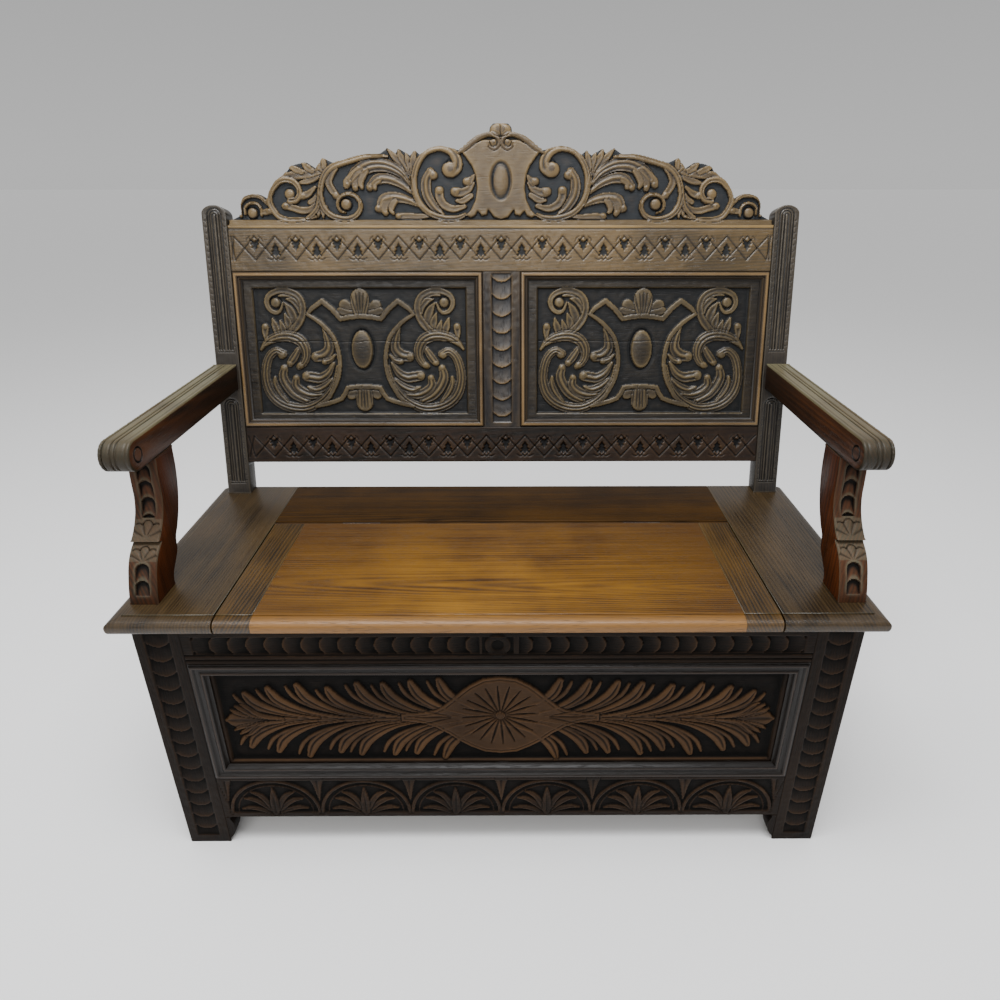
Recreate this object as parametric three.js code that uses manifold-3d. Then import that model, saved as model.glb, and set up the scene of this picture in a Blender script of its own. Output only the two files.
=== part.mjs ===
// Carved oak settle: a panelled box seat with a lift-up lid, scrolled arms and a raked, carved back.
// Millimetres, +Z up, the front looks towards -Y. The origin is on the floor, under the middle of the
// settle's overall box. Shapes are first laid out from the front face of the seat box, at Y = 0.
import * as THREE from "three";
import { mergeVertices } from "three/addons/utils/BufferGeometryUtils.js";
import Module from "manifold-3d";

const wasm = await Module();
wasm.setup();

// Fits between pieces
const seam = 0.3;
const socketFit = 0.4;
const overrun = 5;
const mergeDistance = 0.001;
const arcSteps = 10;
const splineSteps = 2;

// Seat boards, with a thumb moulding along the front and both ends
const seatWidth = 1067;
const seatHeight = 452.5;
const seatThick = 21.5;
const seatDepth = 438;
const noseReach = 21.4;
const thumbWidth = 17.5;
const thumbStep = 1.8;
const thumbDrop = 9.5;
const thumbUnderReach = 5;
const endBoardWidth = 144;
const lidGap = 2.5;
const clampWidth = 50;
const hingeRailDepth = 149;
const tongueThick = 7;
const tongueLong = 9;

// Seat box
const footHeight = 56;
const bottomRailTall = 86;
const topRailTall = 67;
const frontStileWidth = 66;
const frontStileThick = 32;
const frontRailThick = 25;
const rearStileWidth = 58;
const rearStileThick = 32;
const rearRailThick = 22;
const rearOverhang = 4;
const sideRailThick = 24;
const footRound = 8;
const bracketReach = 11;
const bracketThick = 24;
const tenonThick = 9;
const tenonLong = 24;
const tenonShoulder = 12;
const grooveDeep = 8;
const frontPanelThick = 14;
const frontPanelSet = 9;
const frontFieldInset = 27;
const frontGroundDeep = 5.2;
const plainPanelThick = 9;
const frontMouldWidth = 24;
const frontMouldTall = 12;

// Chest floor
const cleatSide = 20;
const cleatLift = 6;
const floorThick = 12;
const floorBoards = ["left", "middle", "right"];

// Raked back
const rakeDegrees = 12.4;
const postWidth = 42;
const postThick = 30;
const postInset = 1;
const postRise = 17;
const postCrown = 15;
const backThick = 24;
const backSet = 3;
const seatSlot = 59;
const lowerRailTall = 65;
const backPanelTall = 271;
const friezeTall = 76;
const muntinWidth = 66;
const backPanelThick = 14;
const backPanelSet = 6;
const backFieldSide = 29;
const backFieldEdge = 24;
const backGroundDeep = 4.8;
const bossRise = 6.3;
const eyeRise = 4.4;
const carvingDrop = 1;
const domeSteps = 14;
const domeRings = 8;
const backMouldWidth = 15;
const backMouldTall = 9;
const backTenonLong = 20;
const crestTall = 161.5;
const crestBandTall = 15;
const crestEndGap = 3;
const crestShoulder = 24.1;

// Arms and their scrolled supports
const armTop = 683.5;
const armTall = 43.5;
const armWidth = 41;
const armSetback = 38;
const supportSetback = 21;
const supportWidth = 40;
const supportReach = 134;
const supportTenonThick = 14;
const supportTenonDeep = 36;
const supportTenonLong = 12;

// Iron butt hinges under a bead along the hinge rail
const knuckleRadius = 3.5;
const quirkWidth = 1.8;
const hingeLong = 64;
const hingeInset = 147;
const leafThick = 1.5;
const leafTall = 15;
const pinRadius = 1.3;
const pinFit = 0.15;
const knuckleGap = 0.4;
const knuckleCount = 3;
const roundSteps = 24;

// Places that follow from the sizes above
const seatHalf = seatWidth / 2;
const boxHalf = seatHalf - noseReach;
const seatRear = seatDepth - noseReach;
const seatUnder = seatHeight - seatThick;
const boxTop = seatUnder - seam;
const boxDepth = seatRear - rearOverhang;
const openLow = footHeight + bottomRailTall;
const openHigh = boxTop - topRailTall;
const openHalf = boxHalf - frontStileWidth;
const endBoardInner = seatHalf - endBoardWidth;
const lidHalf = endBoardInner - lidGap;
const hingePlace = lidHalf - hingeInset;
const hingeY = seatRear - hingeRailDepth;
const hingeZ = seatHeight - knuckleRadius;
const lidRear = hingeY - knuckleRadius - seam;
const rake = THREE.MathUtils.degToRad(rakeDegrees);
const postFrontY = seatRear - postThick / Math.cos(rake);
const postOuter = boxHalf - postInset;
const postInner = postOuter - postWidth;
const lowerRailTop = seatSlot + lowerRailTall;
const friezeLow = lowerRailTop + backPanelTall;
const friezeHigh = friezeLow + friezeTall;
const postTall = friezeHigh + postRise;
const crestHigh = friezeHigh + crestTall;
const crestHalfCarved = postInner - crestShoulder;
const backRear = backSet + backThick;
const armUnder = armTop - armTall;
const armOuter = seatHalf - thumbWidth;
const armMiddle = armOuter - armWidth / 2;
const rearmost = postFrontY + crestHigh * Math.sin(rake) + backRear * Math.cos(rake);
const middleY = (rearmost - noseReach) / 2;
const sides = [["left", -1], ["right", 1]];

// Finishes: old stained oak, the worn oak of the lid, and dark iron
const finishes = {
  oak: { color: 0x3a2415, roughness: 0.5, metalness: 0 },
  wornOak: { color: 0x8a5a26, roughness: 0.42, metalness: 0 },
  iron: { color: 0x2b2826, roughness: 0.55, metalness: 0.9 },
};

// A closed mesh as a solid that can be joined and cut
function solidOf(geometry) {
  const bare = geometry.clone();
  bare.deleteAttribute("normal");
  bare.deleteAttribute("uv");
  const merged = mergeVertices(bare, mergeDistance);
  const mesh = new wasm.Mesh({
    numProp: 3,
    vertProperties: merged.attributes.position.array,
    triVerts: new Uint32Array(merged.index.array),
  });
  return new wasm.Manifold(mesh);
}

function geometryOf(solid) {
  const mesh = solid.getMesh();
  const geometry = new THREE.BufferGeometry();
  geometry.setAttribute("position", new THREE.BufferAttribute(mesh.vertProperties, 3));
  geometry.setIndex(new THREE.BufferAttribute(mesh.triVerts, 1));
  geometry.computeVertexNormals();
  return geometry;
}

function joined(body, ...additions) {
  return geometryOf(additions.reduce((sum, extra) => sum.add(solidOf(extra)), solidOf(body)));
}

function cut(body, ...tools) {
  return geometryOf(tools.reduce((rest, tool) => rest.subtract(solidOf(tool)), solidOf(body)));
}

function common(first, second) {
  return geometryOf(solidOf(first).intersect(solidOf(second)));
}

// A rectangular block between two opposite corners, given in any order
function block(corner, opposite) {
  const size = corner.map((value, axis) => Math.abs(opposite[axis] - value));
  const centre = corner.map((value, axis) => (opposite[axis] + value) / 2);
  return new THREE.BoxGeometry(...size).translate(...centre);
}

// The same block, larger or smaller all round
function grown(corners, margin) {
  const [low, high] = corners;
  return block(low.map((value) => value - margin), high.map((value) => value + margin));
}

// Outlines drawn in (Y, Z), (X, Z) or (X, Y) and pushed along the third axis
function alongX(outline, start, end, steps = arcSteps) {
  const turn = new THREE.Matrix4().makeBasis(
    new THREE.Vector3(0, 1, 0), new THREE.Vector3(0, 0, 1), new THREE.Vector3(1, 0, 0));
  return pushed(outline, end - start, steps).applyMatrix4(turn).translate(start, 0, 0);
}

function alongY(outline, start, end, steps = arcSteps) {
  const turn = new THREE.Matrix4().makeBasis(
    new THREE.Vector3(1, 0, 0), new THREE.Vector3(0, 0, 1), new THREE.Vector3(0, -1, 0));
  return pushed(outline, end - start, steps).applyMatrix4(turn).translate(0, end, 0);
}

function pushed(outline, depth, curveSegments) {
  return new THREE.ExtrudeGeometry(outline, { depth, bevelEnabled: false, curveSegments });
}

function shapeOf(points) {
  return new THREE.Shape(points.map(([across, up]) => new THREE.Vector2(across, up)));
}

function piece(group, name, geometry, finish = "oak") {
  const mesh = new THREE.Mesh(geometry, new THREE.MeshStandardMaterial(finishes[finish]));
  mesh.name = name;
  group.add(mesh);
}

// The tenons of a rail, as one bar through it. Axes count X, Y, Z as 0, 1, 2: the bar runs along one,
// and is thin across another.
function tenonBar(corners, along, across, length, margin) {
  const low = [...corners[0]];
  const high = [...corners[1]];
  for (const axis of [0, 1, 2]) {
    const inset = axis === across ? (high[axis] - low[axis] - tenonThick) / 2 : tenonShoulder;
    const move = axis === along ? -length : inset;
    low[axis] += move - margin;
    high[axis] -= move - margin;
  }
  return block(low, high);
}

function tenonedRail(corners, along, across, length) {
  return joined(block(...corners), tenonBar(corners, along, across, length, 0));
}

// Seat box: corners of its rails and panels, which the stiles are mortised and grooved for
const frontRails = {
  top: [[-openHalf + seam, 0, openHigh], [openHalf - seam, frontRailThick, boxTop]],
  bottom: [[-openHalf + seam, 0, footHeight], [openHalf - seam, frontRailThick, openLow]],
};
const rearInner = boxHalf - rearStileWidth;
const rearRails = {
  top: [[-rearInner + seam, boxDepth - rearRailThick, openHigh], [rearInner - seam, boxDepth, boxTop]],
  bottom: [[-rearInner + seam, boxDepth - rearRailThick, footHeight], [rearInner - seam, boxDepth, openLow]],
};
const sideStart = frontStileThick + seam;
const sideEnd = boxDepth - rearStileThick - seam;

function sideRail(sign, low, high) {
  const faces = [sign * boxHalf, sign * (boxHalf - sideRailThick)].sort((a, b) => a - b);
  return [[faces[0], sideStart, low], [faces[1], sideEnd, high]];
}

const panelReach = grooveDeep - seam;
const frontPanelCorners = [
  [-openHalf - panelReach, frontPanelSet, openLow - panelReach],
  [openHalf + panelReach, frontPanelSet + frontPanelThick, openHigh + panelReach],
];
const rearPanelFace = boxDepth - (rearRailThick - plainPanelThick) / 2;
const rearPanelCorners = [
  [-rearInner - panelReach, rearPanelFace - plainPanelThick, openLow - panelReach],
  [rearInner + panelReach, rearPanelFace, openHigh + panelReach],
];

function sidePanel(sign) {
  const outer = boxHalf - (sideRailThick - plainPanelThick) / 2;
  const faces = [sign * outer, sign * (outer - plainPanelThick)].sort((a, b) => a - b);
  return [
    [faces[0], frontStileThick - panelReach, openLow - panelReach],
    [faces[1], boxDepth - rearStileThick + panelReach, openHigh + panelReach],
  ];
}

// A stile with its foot, whose inner lower corner is rounded
function stileBlank(sign, width, front, rear) {
  const inner = boxHalf - width;
  const outline = new THREE.Shape();
  outline.moveTo(sign * (inner + footRound), 0);
  outline.lineTo(sign * boxHalf, 0);
  outline.lineTo(sign * boxHalf, boxTop);
  outline.lineTo(sign * inner, boxTop);
  outline.lineTo(sign * inner, footRound);
  outline.quadraticCurveTo(sign * inner, 0, sign * (inner + footRound), 0);
  return alongY(outline, front, rear);
}

function sideSockets(sign) {
  const rails = [sideRail(sign, openHigh, boxTop), sideRail(sign, footHeight, openLow)];
  return rails.map((corners) => tenonBar(corners, 1, 0, tenonLong, socketFit));
}

function addStiles(group) {
  for (const [side, sign] of sides) {
    const frontSockets = [frontRails.top, frontRails.bottom]
      .map((corners) => tenonBar(corners, 0, 1, tenonLong, socketFit));
    const rearSockets = [rearRails.top, rearRails.bottom]
      .map((corners) => tenonBar(corners, 0, 1, tenonLong, socketFit));
    const sideGroove = grown(sidePanel(sign), seam);
    const front = stileBlank(sign, frontStileWidth, 0, frontStileThick);
    const rear = stileBlank(sign, rearStileWidth, boxDepth - rearStileThick, boxDepth);
    piece(group, `front_stile_${side}`,
      cut(front, ...frontSockets, ...sideSockets(sign), sideGroove, grown(frontPanelCorners, seam)));
    piece(group, `rear_stile_${side}`,
      cut(rear, ...rearSockets, ...sideSockets(sign), sideGroove, grown(rearPanelCorners, seam)));
  }
}

function addRails(group) {
  for (const [level, corners] of Object.entries(frontRails)) {
    piece(group, `front_${level}_rail`,
      cut(tenonedRail(corners, 0, 1, tenonLong), grown(frontPanelCorners, seam)));
  }
  for (const [level, corners] of Object.entries(rearRails)) {
    piece(group, `rear_${level}_rail`,
      cut(tenonedRail(corners, 0, 1, tenonLong), grown(rearPanelCorners, seam)));
  }
  for (const [side, sign] of sides) {
    for (const [level, low, high] of [["top", openHigh, boxTop], ["bottom", footHeight, openLow]]) {
      const rail = tenonedRail(sideRail(sign, low, high), 1, 0, tenonLong);
      piece(group, `side_${level}_rail_${side}`, cut(rail, grown(sidePanel(sign), seam)));
    }
  }
}

// Carving stands up from a sunk field, a little below the panel's face. Its forms are drawn as shares
// of the field's half width outwards from the middle, and of its height up from the lower edge. The third
// share, again of the half width, is how far a form spreads to each side of its line.
function carvingPlace([out, up], field, flip) {
  return [field.middle + flip * out * field.half, field.low + up * field.tall];
}

function carvedStrip(shares, field, flip) {
  const places = shares.map((place) => carvingPlace(place, field, flip));
  const near = [];
  const far = [];
  places.forEach(([x, z], index) => {
    const [fromX, fromZ] = places[Math.max(index - 1, 0)];
    const [toX, toZ] = places[Math.min(index + 1, places.length - 1)];
    const run = new THREE.Vector2(toX - fromX, toZ - fromZ).normalize();
    const spread = shares[index][2] * field.half;
    near.push([x - run.y * spread, z + run.x * spread]);
    far.unshift([x + run.y * spread, z - run.x * spread]);
  });
  return shapeOf([...near, ...far]);
}

// A rounded boss, from its middle and its half sizes as shares
function carvedDome(shares, rise, corners, field, flip) {
  const [x, z] = carvingPlace(shares, field, flip);
  return new THREE.SphereGeometry(1, domeSteps, domeRings)
    .scale(shares[2] * field.half, rise, shares[3] * field.tall)
    .translate(x, corners[0][1] + field.deep, z);
}

function carvedPanel(corners, field, forms, domes) {
  const face = corners[0][1];
  const ground = face + field.deep;
  const pocket = block([field.middle - field.half, face - overrun, field.low],
    [field.middle + field.half, ground, field.low + field.tall]);
  const raised = forms.map((form) => alongY(form, face + carvingDrop, ground + overrun));
  const board = cut(block(...corners), cut(pocket, ...raised));
  return domes.length ? joined(board, ...domes) : board;
}

// Front panel: a roundel drawn out to a point each way, a stem, and leaves that curl from it to their tips
const roundelShares = [
  [0, 0.972], [0.06, 0.948], [0.132, 0.823], [0.167, 0.733], [0.203, 0.644], [0.239, 0.59], [0.275, 0.572],
  [0.359, 0.554], [0.359, 0.465], [0.275, 0.435], [0.239, 0.4], [0.191, 0.316], [0.144, 0.215],
  [0.108, 0.155], [0.06, 0.095], [0, 0.078],
];
const stemShares = [
  [0.335, 0.507, 0.019], [0.622, 0.495, 0.014], [0.842, 0.483, 0.02], [0.921, 0.483, 0.036],
  [0.986, 0.483, 0.01],
];
const leafCurlShares = [
  [0, 0, 0.004], [-0.026, -0.119, 0.018], [-0.062, -0.19, 0.015], [-0.115, -0.256, 0.011],
  [-0.2, -0.31, 0.005],
];
const upperTipShares = [
  [0.215, 0.918], [0.311, 0.912], [0.414, 0.888], [0.502, 0.888], [0.608, 0.853], [0.711, 0.877],
  [0.818, 0.841], [0.907, 0.781],
];
const lowerTipShares = [
  [0.203, 0.036], [0.311, 0.083], [0.395, 0.089], [0.514, 0.083], [0.598, 0.113], [0.711, 0.066],
  [0.825, 0.113], [0.914, 0.173],
];
const stemHeightShare = 0.495;
const leafReachShare = 0.346;

function frontCarving(field) {
  const right = roundelShares.map((place) => carvingPlace(place, field, 1));
  const left = roundelShares.slice(1, -1).reverse().map((place) => carvingPlace(place, field, -1));
  const forms = [shapeOf([...right, ...left])];
  for (const [, flip] of sides) {
    forms.push(carvedStrip(stemShares, field, flip));
    for (const [tips, rise] of [[upperTipShares, 1], [lowerTipShares, -1]]) {
      for (const [tipOut, tipUp] of tips) {
        const scale = rise * Math.abs(tipUp - stemHeightShare) / leafReachShare;
        const leaf = leafCurlShares.map(([out, up, wide]) => [tipOut + out, tipUp + up * scale, wide]);
        forms.push(carvedStrip(leaf, field, flip));
      }
    }
  }
  return forms;
}

function addPanels(group) {
  const low = openLow + frontFieldInset;
  const field = {
    middle: 0,
    half: openHalf - frontFieldInset,
    low,
    tall: openHigh - frontFieldInset - low,
    deep: frontGroundDeep,
  };
  piece(group, "front_panel", carvedPanel(frontPanelCorners, field, frontCarving(field), []));
  piece(group, "rear_panel", block(...rearPanelCorners));
  for (const [side, sign] of sides) piece(group, `side_panel_${side}`, block(...sidePanel(sign)));
}

// Small lobed bracket in the corner of each front foot and the bottom rail
const bracketShares = [[0.55, 0.95], [0.95, 0.72], [1, 0.5], [0.8, 0.25], [0.35, 0.08]];

function addBrackets(group) {
  for (const [side, sign] of sides) {
    const root = openHalf - seam;
    const top = footHeight - seam;
    const outline = new THREE.Shape();
    outline.moveTo(sign * root, footRound);
    outline.lineTo(sign * root, top);
    outline.lineTo(sign * (root - bracketReach), top);
    outline.splineThru(bracketShares.map(([out, up]) =>
      new THREE.Vector2(sign * (root - out * bracketReach), footRound + up * (top - footRound))));
    outline.closePath();
    piece(group, `foot_bracket_${side}`, alongY(outline, 0, bracketThick, splineSteps));
  }
}

// Cross-section of a mitred moulding: shares of its width, inwards, and of its height, outwards
const frontMouldShares = [
  [0, 0], [0, 0.7], [0.06, 0.72], [0.1, 0.92], [0.19, 1], [0.28, 0.92], [0.33, 0.72],
  [0.45, 0.58], [0.58, 0.6], [0.63, 0.76], [0.71, 0.82], [0.79, 0.74], [0.85, 0.5], [0.93, 0.24],
  [1, 0.16], [1, 0],
];
const backMouldShares = [
  [0, 0], [0, 0.62], [0.08, 0.86], [0.24, 1], [0.42, 0.97], [0.55, 0.78], [0.62, 0.6],
  [0.7, 0.62], [0.78, 0.46], [0.9, 0.24], [1, 0.16], [1, 0],
];

// One mitred length of moulding, its outer edge on the middle of one side of the opening
function mitredStrip(shares, width, height, length) {
  const section = shapeOf(shares.map(([inwards, outwards]) => [inwards * width, outwards * height]));
  const strip = pushed(section, length, 1).translate(0, 0, -length / 2);
  const place = strip.attributes.position;
  for (let i = 0; i < place.count; i += 1) {
    const along = place.getZ(i);
    place.setZ(i, along - Math.sign(along) * place.getX(i));
  }
  return strip;
}

// Four mouldings round an opening, planted on the panel behind it. The opening is given by its lowest
// and highest corner in X and Z, and the panel's face by its Y.
function addMouldings(group, name, opening, face, section) {
  const [[left, low], [right, high]] = opening;
  const centre = [(left + right) / 2, (low + high) / 2];
  const reach = [(right - left) / 2 - seam, (high - low) / 2 - seam];
  const runs = [["top", 0, 1], ["bottom", 0, -1], ["left", -1, 0], ["right", 1, 0]];
  for (const [side, acrossX, acrossZ] of runs) {
    const outwards = new THREE.Vector3(0, -1, 0);
    const inwards = new THREE.Vector3(-acrossX, 0, -acrossZ);
    const along = new THREE.Vector3().crossVectors(inwards, outwards);
    const length = 2 * (acrossX === 0 ? reach[0] : reach[1]) - seam;
    const strip = mitredStrip(section.shares, section.width, section.height, length);
    strip.applyMatrix4(new THREE.Matrix4().makeBasis(inwards, outwards, along));
    strip.translate(centre[0] + acrossX * reach[0], face - seam, centre[1] + acrossZ * reach[1]);
    piece(group, `${name}_${side}`, strip);
  }
}

function addFloor(group) {
  const half = boxHalf - sideRailThick - seam;
  const cleatLow = footHeight + cleatLift;
  const cleatTop = cleatLow + cleatSide;
  const cleatHalf = openHalf - seam;
  const frontFace = frontRailThick + seam;
  const rearFace = boxDepth - rearRailThick - seam;
  piece(group, "floor_cleat_front",
    block([-cleatHalf, frontFace, cleatLow], [cleatHalf, frontFace + cleatSide, cleatTop]));
  piece(group, "floor_cleat_rear",
    block([-cleatHalf, rearFace - cleatSide, cleatLow], [cleatHalf, rearFace, cleatTop]));
  const boardWidth = (2 * half) / floorBoards.length;
  floorBoards.forEach((name, index) => {
    const left = -half + index * boardWidth;
    const low = cleatTop + seam;
    piece(group, `floor_board_${name}`,
      block([left + seam, sideStart, low], [left + boardWidth - seam, sideEnd, low + floorThick]));
  });
}

// Section of the seat's edge: from the back, along the top, over the thumb moulding and home below.
// The edge faces down the first coordinate.
function seatSection(edge, back) {
  const flat = edge + thumbWidth;
  const outline = new THREE.Shape();
  outline.moveTo(back, seatUnder);
  outline.lineTo(back, seatHeight);
  outline.lineTo(flat, seatHeight);
  outline.lineTo(flat, seatHeight - thumbStep);
  outline.quadraticCurveTo(edge, seatHeight - thumbStep, edge, seatHeight - thumbStep - thumbDrop);
  outline.quadraticCurveTo(edge, seatUnder, edge + thumbUnderReach, seatUnder);
  outline.closePath();
  return outline;
}

const tongueLow = seatUnder + (seatThick - tongueThick) / 2;
const tongueHigh = tongueLow + tongueThick;
const hingeTongue = [
  [-endBoardInner - tongueLong, hingeY + knuckleRadius + overrun, tongueLow],
  [endBoardInner + tongueLong, seatRear - overrun, tongueHigh],
];
const lidBoardHalf = lidHalf - clampWidth;
const lidTongue = [
  [-lidBoardHalf - tongueLong, overrun, tongueLow],
  [lidBoardHalf + tongueLong, lidRear - overrun, tongueHigh],
];

// The upright of each arm is tenoned into the arm above and the seat board below
function supportTenon(sign, y, low, high, margin) {
  const thin = supportTenonThick / 2 + margin;
  const deep = supportTenonDeep / 2 + margin;
  const middle = sign * armMiddle;
  return block([middle - thin, y - deep, low - margin], [middle + thin, y + deep, high + margin]);
}

// The support's outline: shares of its reach, from its front foot backwards, and of its height
const supportFrontShares = [
  [0, 0], [0.015, 0.07], [0.06, 0.16], [0.127, 0.264], [0.2, 0.335], [0.29, 0.385], [0.345, 0.402],
];
const supportUpperShares = [
  [0.285, 0.42], [0.375, 0.477], [0.45, 0.54], [0.507, 0.61], [0.545, 0.7], [0.555, 0.79],
  [0.57, 0.9], [0.6, 1],
];
const supportBackShares = [
  [1, 1], [0.995, 0.9], [0.975, 0.78], [0.925, 0.64], [0.84, 0.5], [0.74, 0.39], [0.665, 0.33],
  [0.645, 0.285], [0.62, 0.215], [0.52, 0.14], [0.44, 0.08], [0.41, 0],
];
const footTenonShare = 0.2;
const headTenonShare = 0.8;
const supportFootMiddle = supportSetback + supportReach * footTenonShare;
const supportHeadMiddle = supportSetback + supportReach * headTenonShare;

function supportPoint([back, up]) {
  const low = seatHeight + seam;
  const high = armUnder - seam;
  return new THREE.Vector2(supportSetback + back * supportReach, low + up * (high - low));
}

function addSupports(group) {
  const outline = new THREE.Shape();
  const [foot, ...front] = supportFrontShares.map(supportPoint);
  const [lip, ...upper] = supportUpperShares.map(supportPoint);
  const [head, ...back] = supportBackShares.map(supportPoint);
  outline.moveTo(foot.x, foot.y);
  outline.splineThru(front);
  outline.lineTo(lip.x, lip.y);
  outline.splineThru(upper);
  outline.lineTo(head.x, head.y);
  outline.splineThru(back);
  outline.closePath();
  for (const [side, sign] of sides) {
    const middle = sign * armMiddle;
    const body = alongX(outline, middle - supportWidth / 2, middle + supportWidth / 2, splineSteps);
    const tall = supportTenonLong;
    const lower = supportTenon(sign, supportFootMiddle, seatHeight - tall, seatHeight + overrun, 0);
    const top = supportTenon(sign, supportHeadMiddle, armUnder - overrun, armUnder + tall, 0);
    piece(group, `arm_support_${side}`, joined(body, lower, top));
  }
}

function addSeat(group) {
  for (const [side, sign] of sides) {
    const ends = [sign * endBoardInner, sign * seatHalf].sort((a, b) => a - b);
    const lengthways = alongX(seatSection(-noseReach, seatRear), ends[0], ends[1]);
    const across = alongY(seatSection(-seatHalf, seatHalf), -noseReach, seatRear);
    if (sign > 0) across.rotateZ(Math.PI).translate(0, seatRear - noseReach, 0);
    const foot = supportTenon(
      sign, supportFootMiddle, seatHeight - supportTenonLong, seatHeight + overrun, socketFit);
    piece(group, `seat_end_board_${side}`,
      cut(common(lengthways, across), foot, grown(hingeTongue, socketFit)));
  }
}

function addHingeRail(group) {
  const bead = hingeY - knuckleRadius;
  const quirk = hingeY + knuckleRadius;
  const outline = new THREE.Shape();
  outline.moveTo(bead, seatUnder);
  outline.lineTo(bead, hingeZ);
  outline.absarc(hingeY, hingeZ, knuckleRadius, Math.PI, 0, true);
  outline.lineTo(quirk + quirkWidth, hingeZ);
  outline.lineTo(quirk + quirkWidth, seatHeight);
  outline.lineTo(seatRear, seatHeight);
  outline.lineTo(seatRear, seatUnder);
  outline.closePath();
  const half = endBoardInner - seam;
  const rail = joined(alongX(outline, -half, half), block(...hingeTongue));
  const recesses = sides.map(([, sign]) => {
    const reach = hingeLong / 2 + seam;
    const middle = sign * hingePlace;
    return block([middle - reach, bead - overrun, hingeZ - leafTall - seam],
      [middle + reach, quirk + seam, seatHeight + overrun]);
  });
  piece(group, "hinge_rail", cut(rail, ...recesses));
}

function addLid(group) {
  const outline = seatSection(-noseReach, lidRear);
  const board = alongX(outline, -lidBoardHalf + seam, lidBoardHalf - seam);
  piece(group, "lid_board", joined(board, block(...lidTongue)), "wornOak");
  for (const [side, sign] of sides) {
    const ends = [sign * lidBoardHalf, sign * lidHalf].sort((a, b) => a - b);
    piece(group, `lid_clamp_${side}`,
      cut(alongX(outline, ends[0], ends[1]), grown(lidTongue, socketFit)), "wornOak");
  }
}

// One hinge leaf: a plate hanging from its knuckles, which leave room for the pin
function hingeLeaf(middle, facing, firstKnuckle) {
  const start = middle - hingeLong / 2;
  const pitch = hingeLong / knuckleCount;
  const disc = new THREE.Shape();
  disc.absarc(hingeY, hingeZ, knuckleRadius, 0, 2 * Math.PI);
  const knuckles = [];
  const clearances = [];
  for (let index = 0; index < knuckleCount; index += 1) {
    const from = start + index * pitch;
    const margin = knuckleGap / 2;
    if (index % 2 === firstKnuckle) {
      knuckles.push(rod(knuckleRadius, from + margin, from + pitch - margin));
    } else {
      clearances.push(rod(knuckleRadius + knuckleGap, from - margin, from + pitch + margin));
    }
  }
  const faces = [hingeY + facing * knuckleRadius, hingeY + facing * (knuckleRadius - leafThick)];
  const plate = block([start, faces[0], hingeZ - leafTall], [start + hingeLong, faces[1], hingeZ]);
  const bore = rod(pinRadius + pinFit, start - overrun, start + hingeLong + overrun);
  return cut(joined(plate, ...knuckles), bore, ...clearances);
}

function rod(radius, start, end) {
  const length = end - start;
  const cylinder = new THREE.CylinderGeometry(radius, radius, length, roundSteps);
  return cylinder.rotateZ(-Math.PI / 2).translate(start + length / 2, hingeY, hingeZ);
}

function addHinges(group, lid) {
  for (const [side, sign] of sides) {
    const middle = sign * hingePlace;
    const pinHalf = hingeLong / 2 - knuckleGap / 2;
    piece(group, `hinge_fixed_leaf_${side}`, hingeLeaf(middle, 1, 0), "iron");
    piece(group, `hinge_pin_${side}`, rod(pinRadius, middle - pinHalf, middle + pinHalf), "iron");
    piece(lid, `hinge_lid_leaf_${side}`, hingeLeaf(middle, -1, 1), "iron");
  }
}

// Arm: a square rail whose front end is a half-round scroll, and whose rear end meets the raked post
function addArms(group) {
  const radius = armTall / 2;
  const rearAt = (z) => postFrontY + (z - seatHeight) * Math.tan(rake) - seam;
  const outline = new THREE.Shape();
  outline.moveTo(rearAt(armTop), armTop);
  outline.lineTo(armSetback + radius, armTop);
  outline.absarc(armSetback + radius, armTop - radius, radius, Math.PI / 2, -Math.PI / 2, false);
  outline.lineTo(rearAt(armUnder), armUnder);
  outline.closePath();
  for (const [side, sign] of sides) {
    const middle = sign * armMiddle;
    const body = alongX(outline, middle - armWidth / 2, middle + armWidth / 2);
    const socket = supportTenon(
      sign, supportHeadMiddle, armUnder - overrun, armUnder + supportTenonLong, socketFit);
    piece(group, `arm_${side}`, cut(body, socket));
  }
}

// Raked back, laid out upright from the seat line and tipped back as a whole. Y runs into its
// thickness, and Z up its slope.
const backHalf = postInner - seam;
const muntinHalf = muntinWidth / 2;
const backRails = {
  lower: [[-backHalf, backSet, seatSlot], [backHalf, backRear, lowerRailTop - seam]],
  frieze: [[-backHalf, backSet, friezeLow + seam], [backHalf, backRear, friezeHigh]],
};
const muntinCorners = [
  [-muntinHalf, backSet, lowerRailTop], [muntinHalf, backRear, friezeLow],
];
const backPanelFace = backSet + backPanelSet;

function backPanelCorners(sign) {
  const ends = [sign * (muntinHalf - panelReach), sign * (postInner + panelReach)].sort((a, b) => a - b);
  return [
    [ends[0], backPanelFace, lowerRailTop - panelReach],
    [ends[1], backPanelFace + backPanelThick, friezeLow + panelReach],
  ];
}

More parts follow.
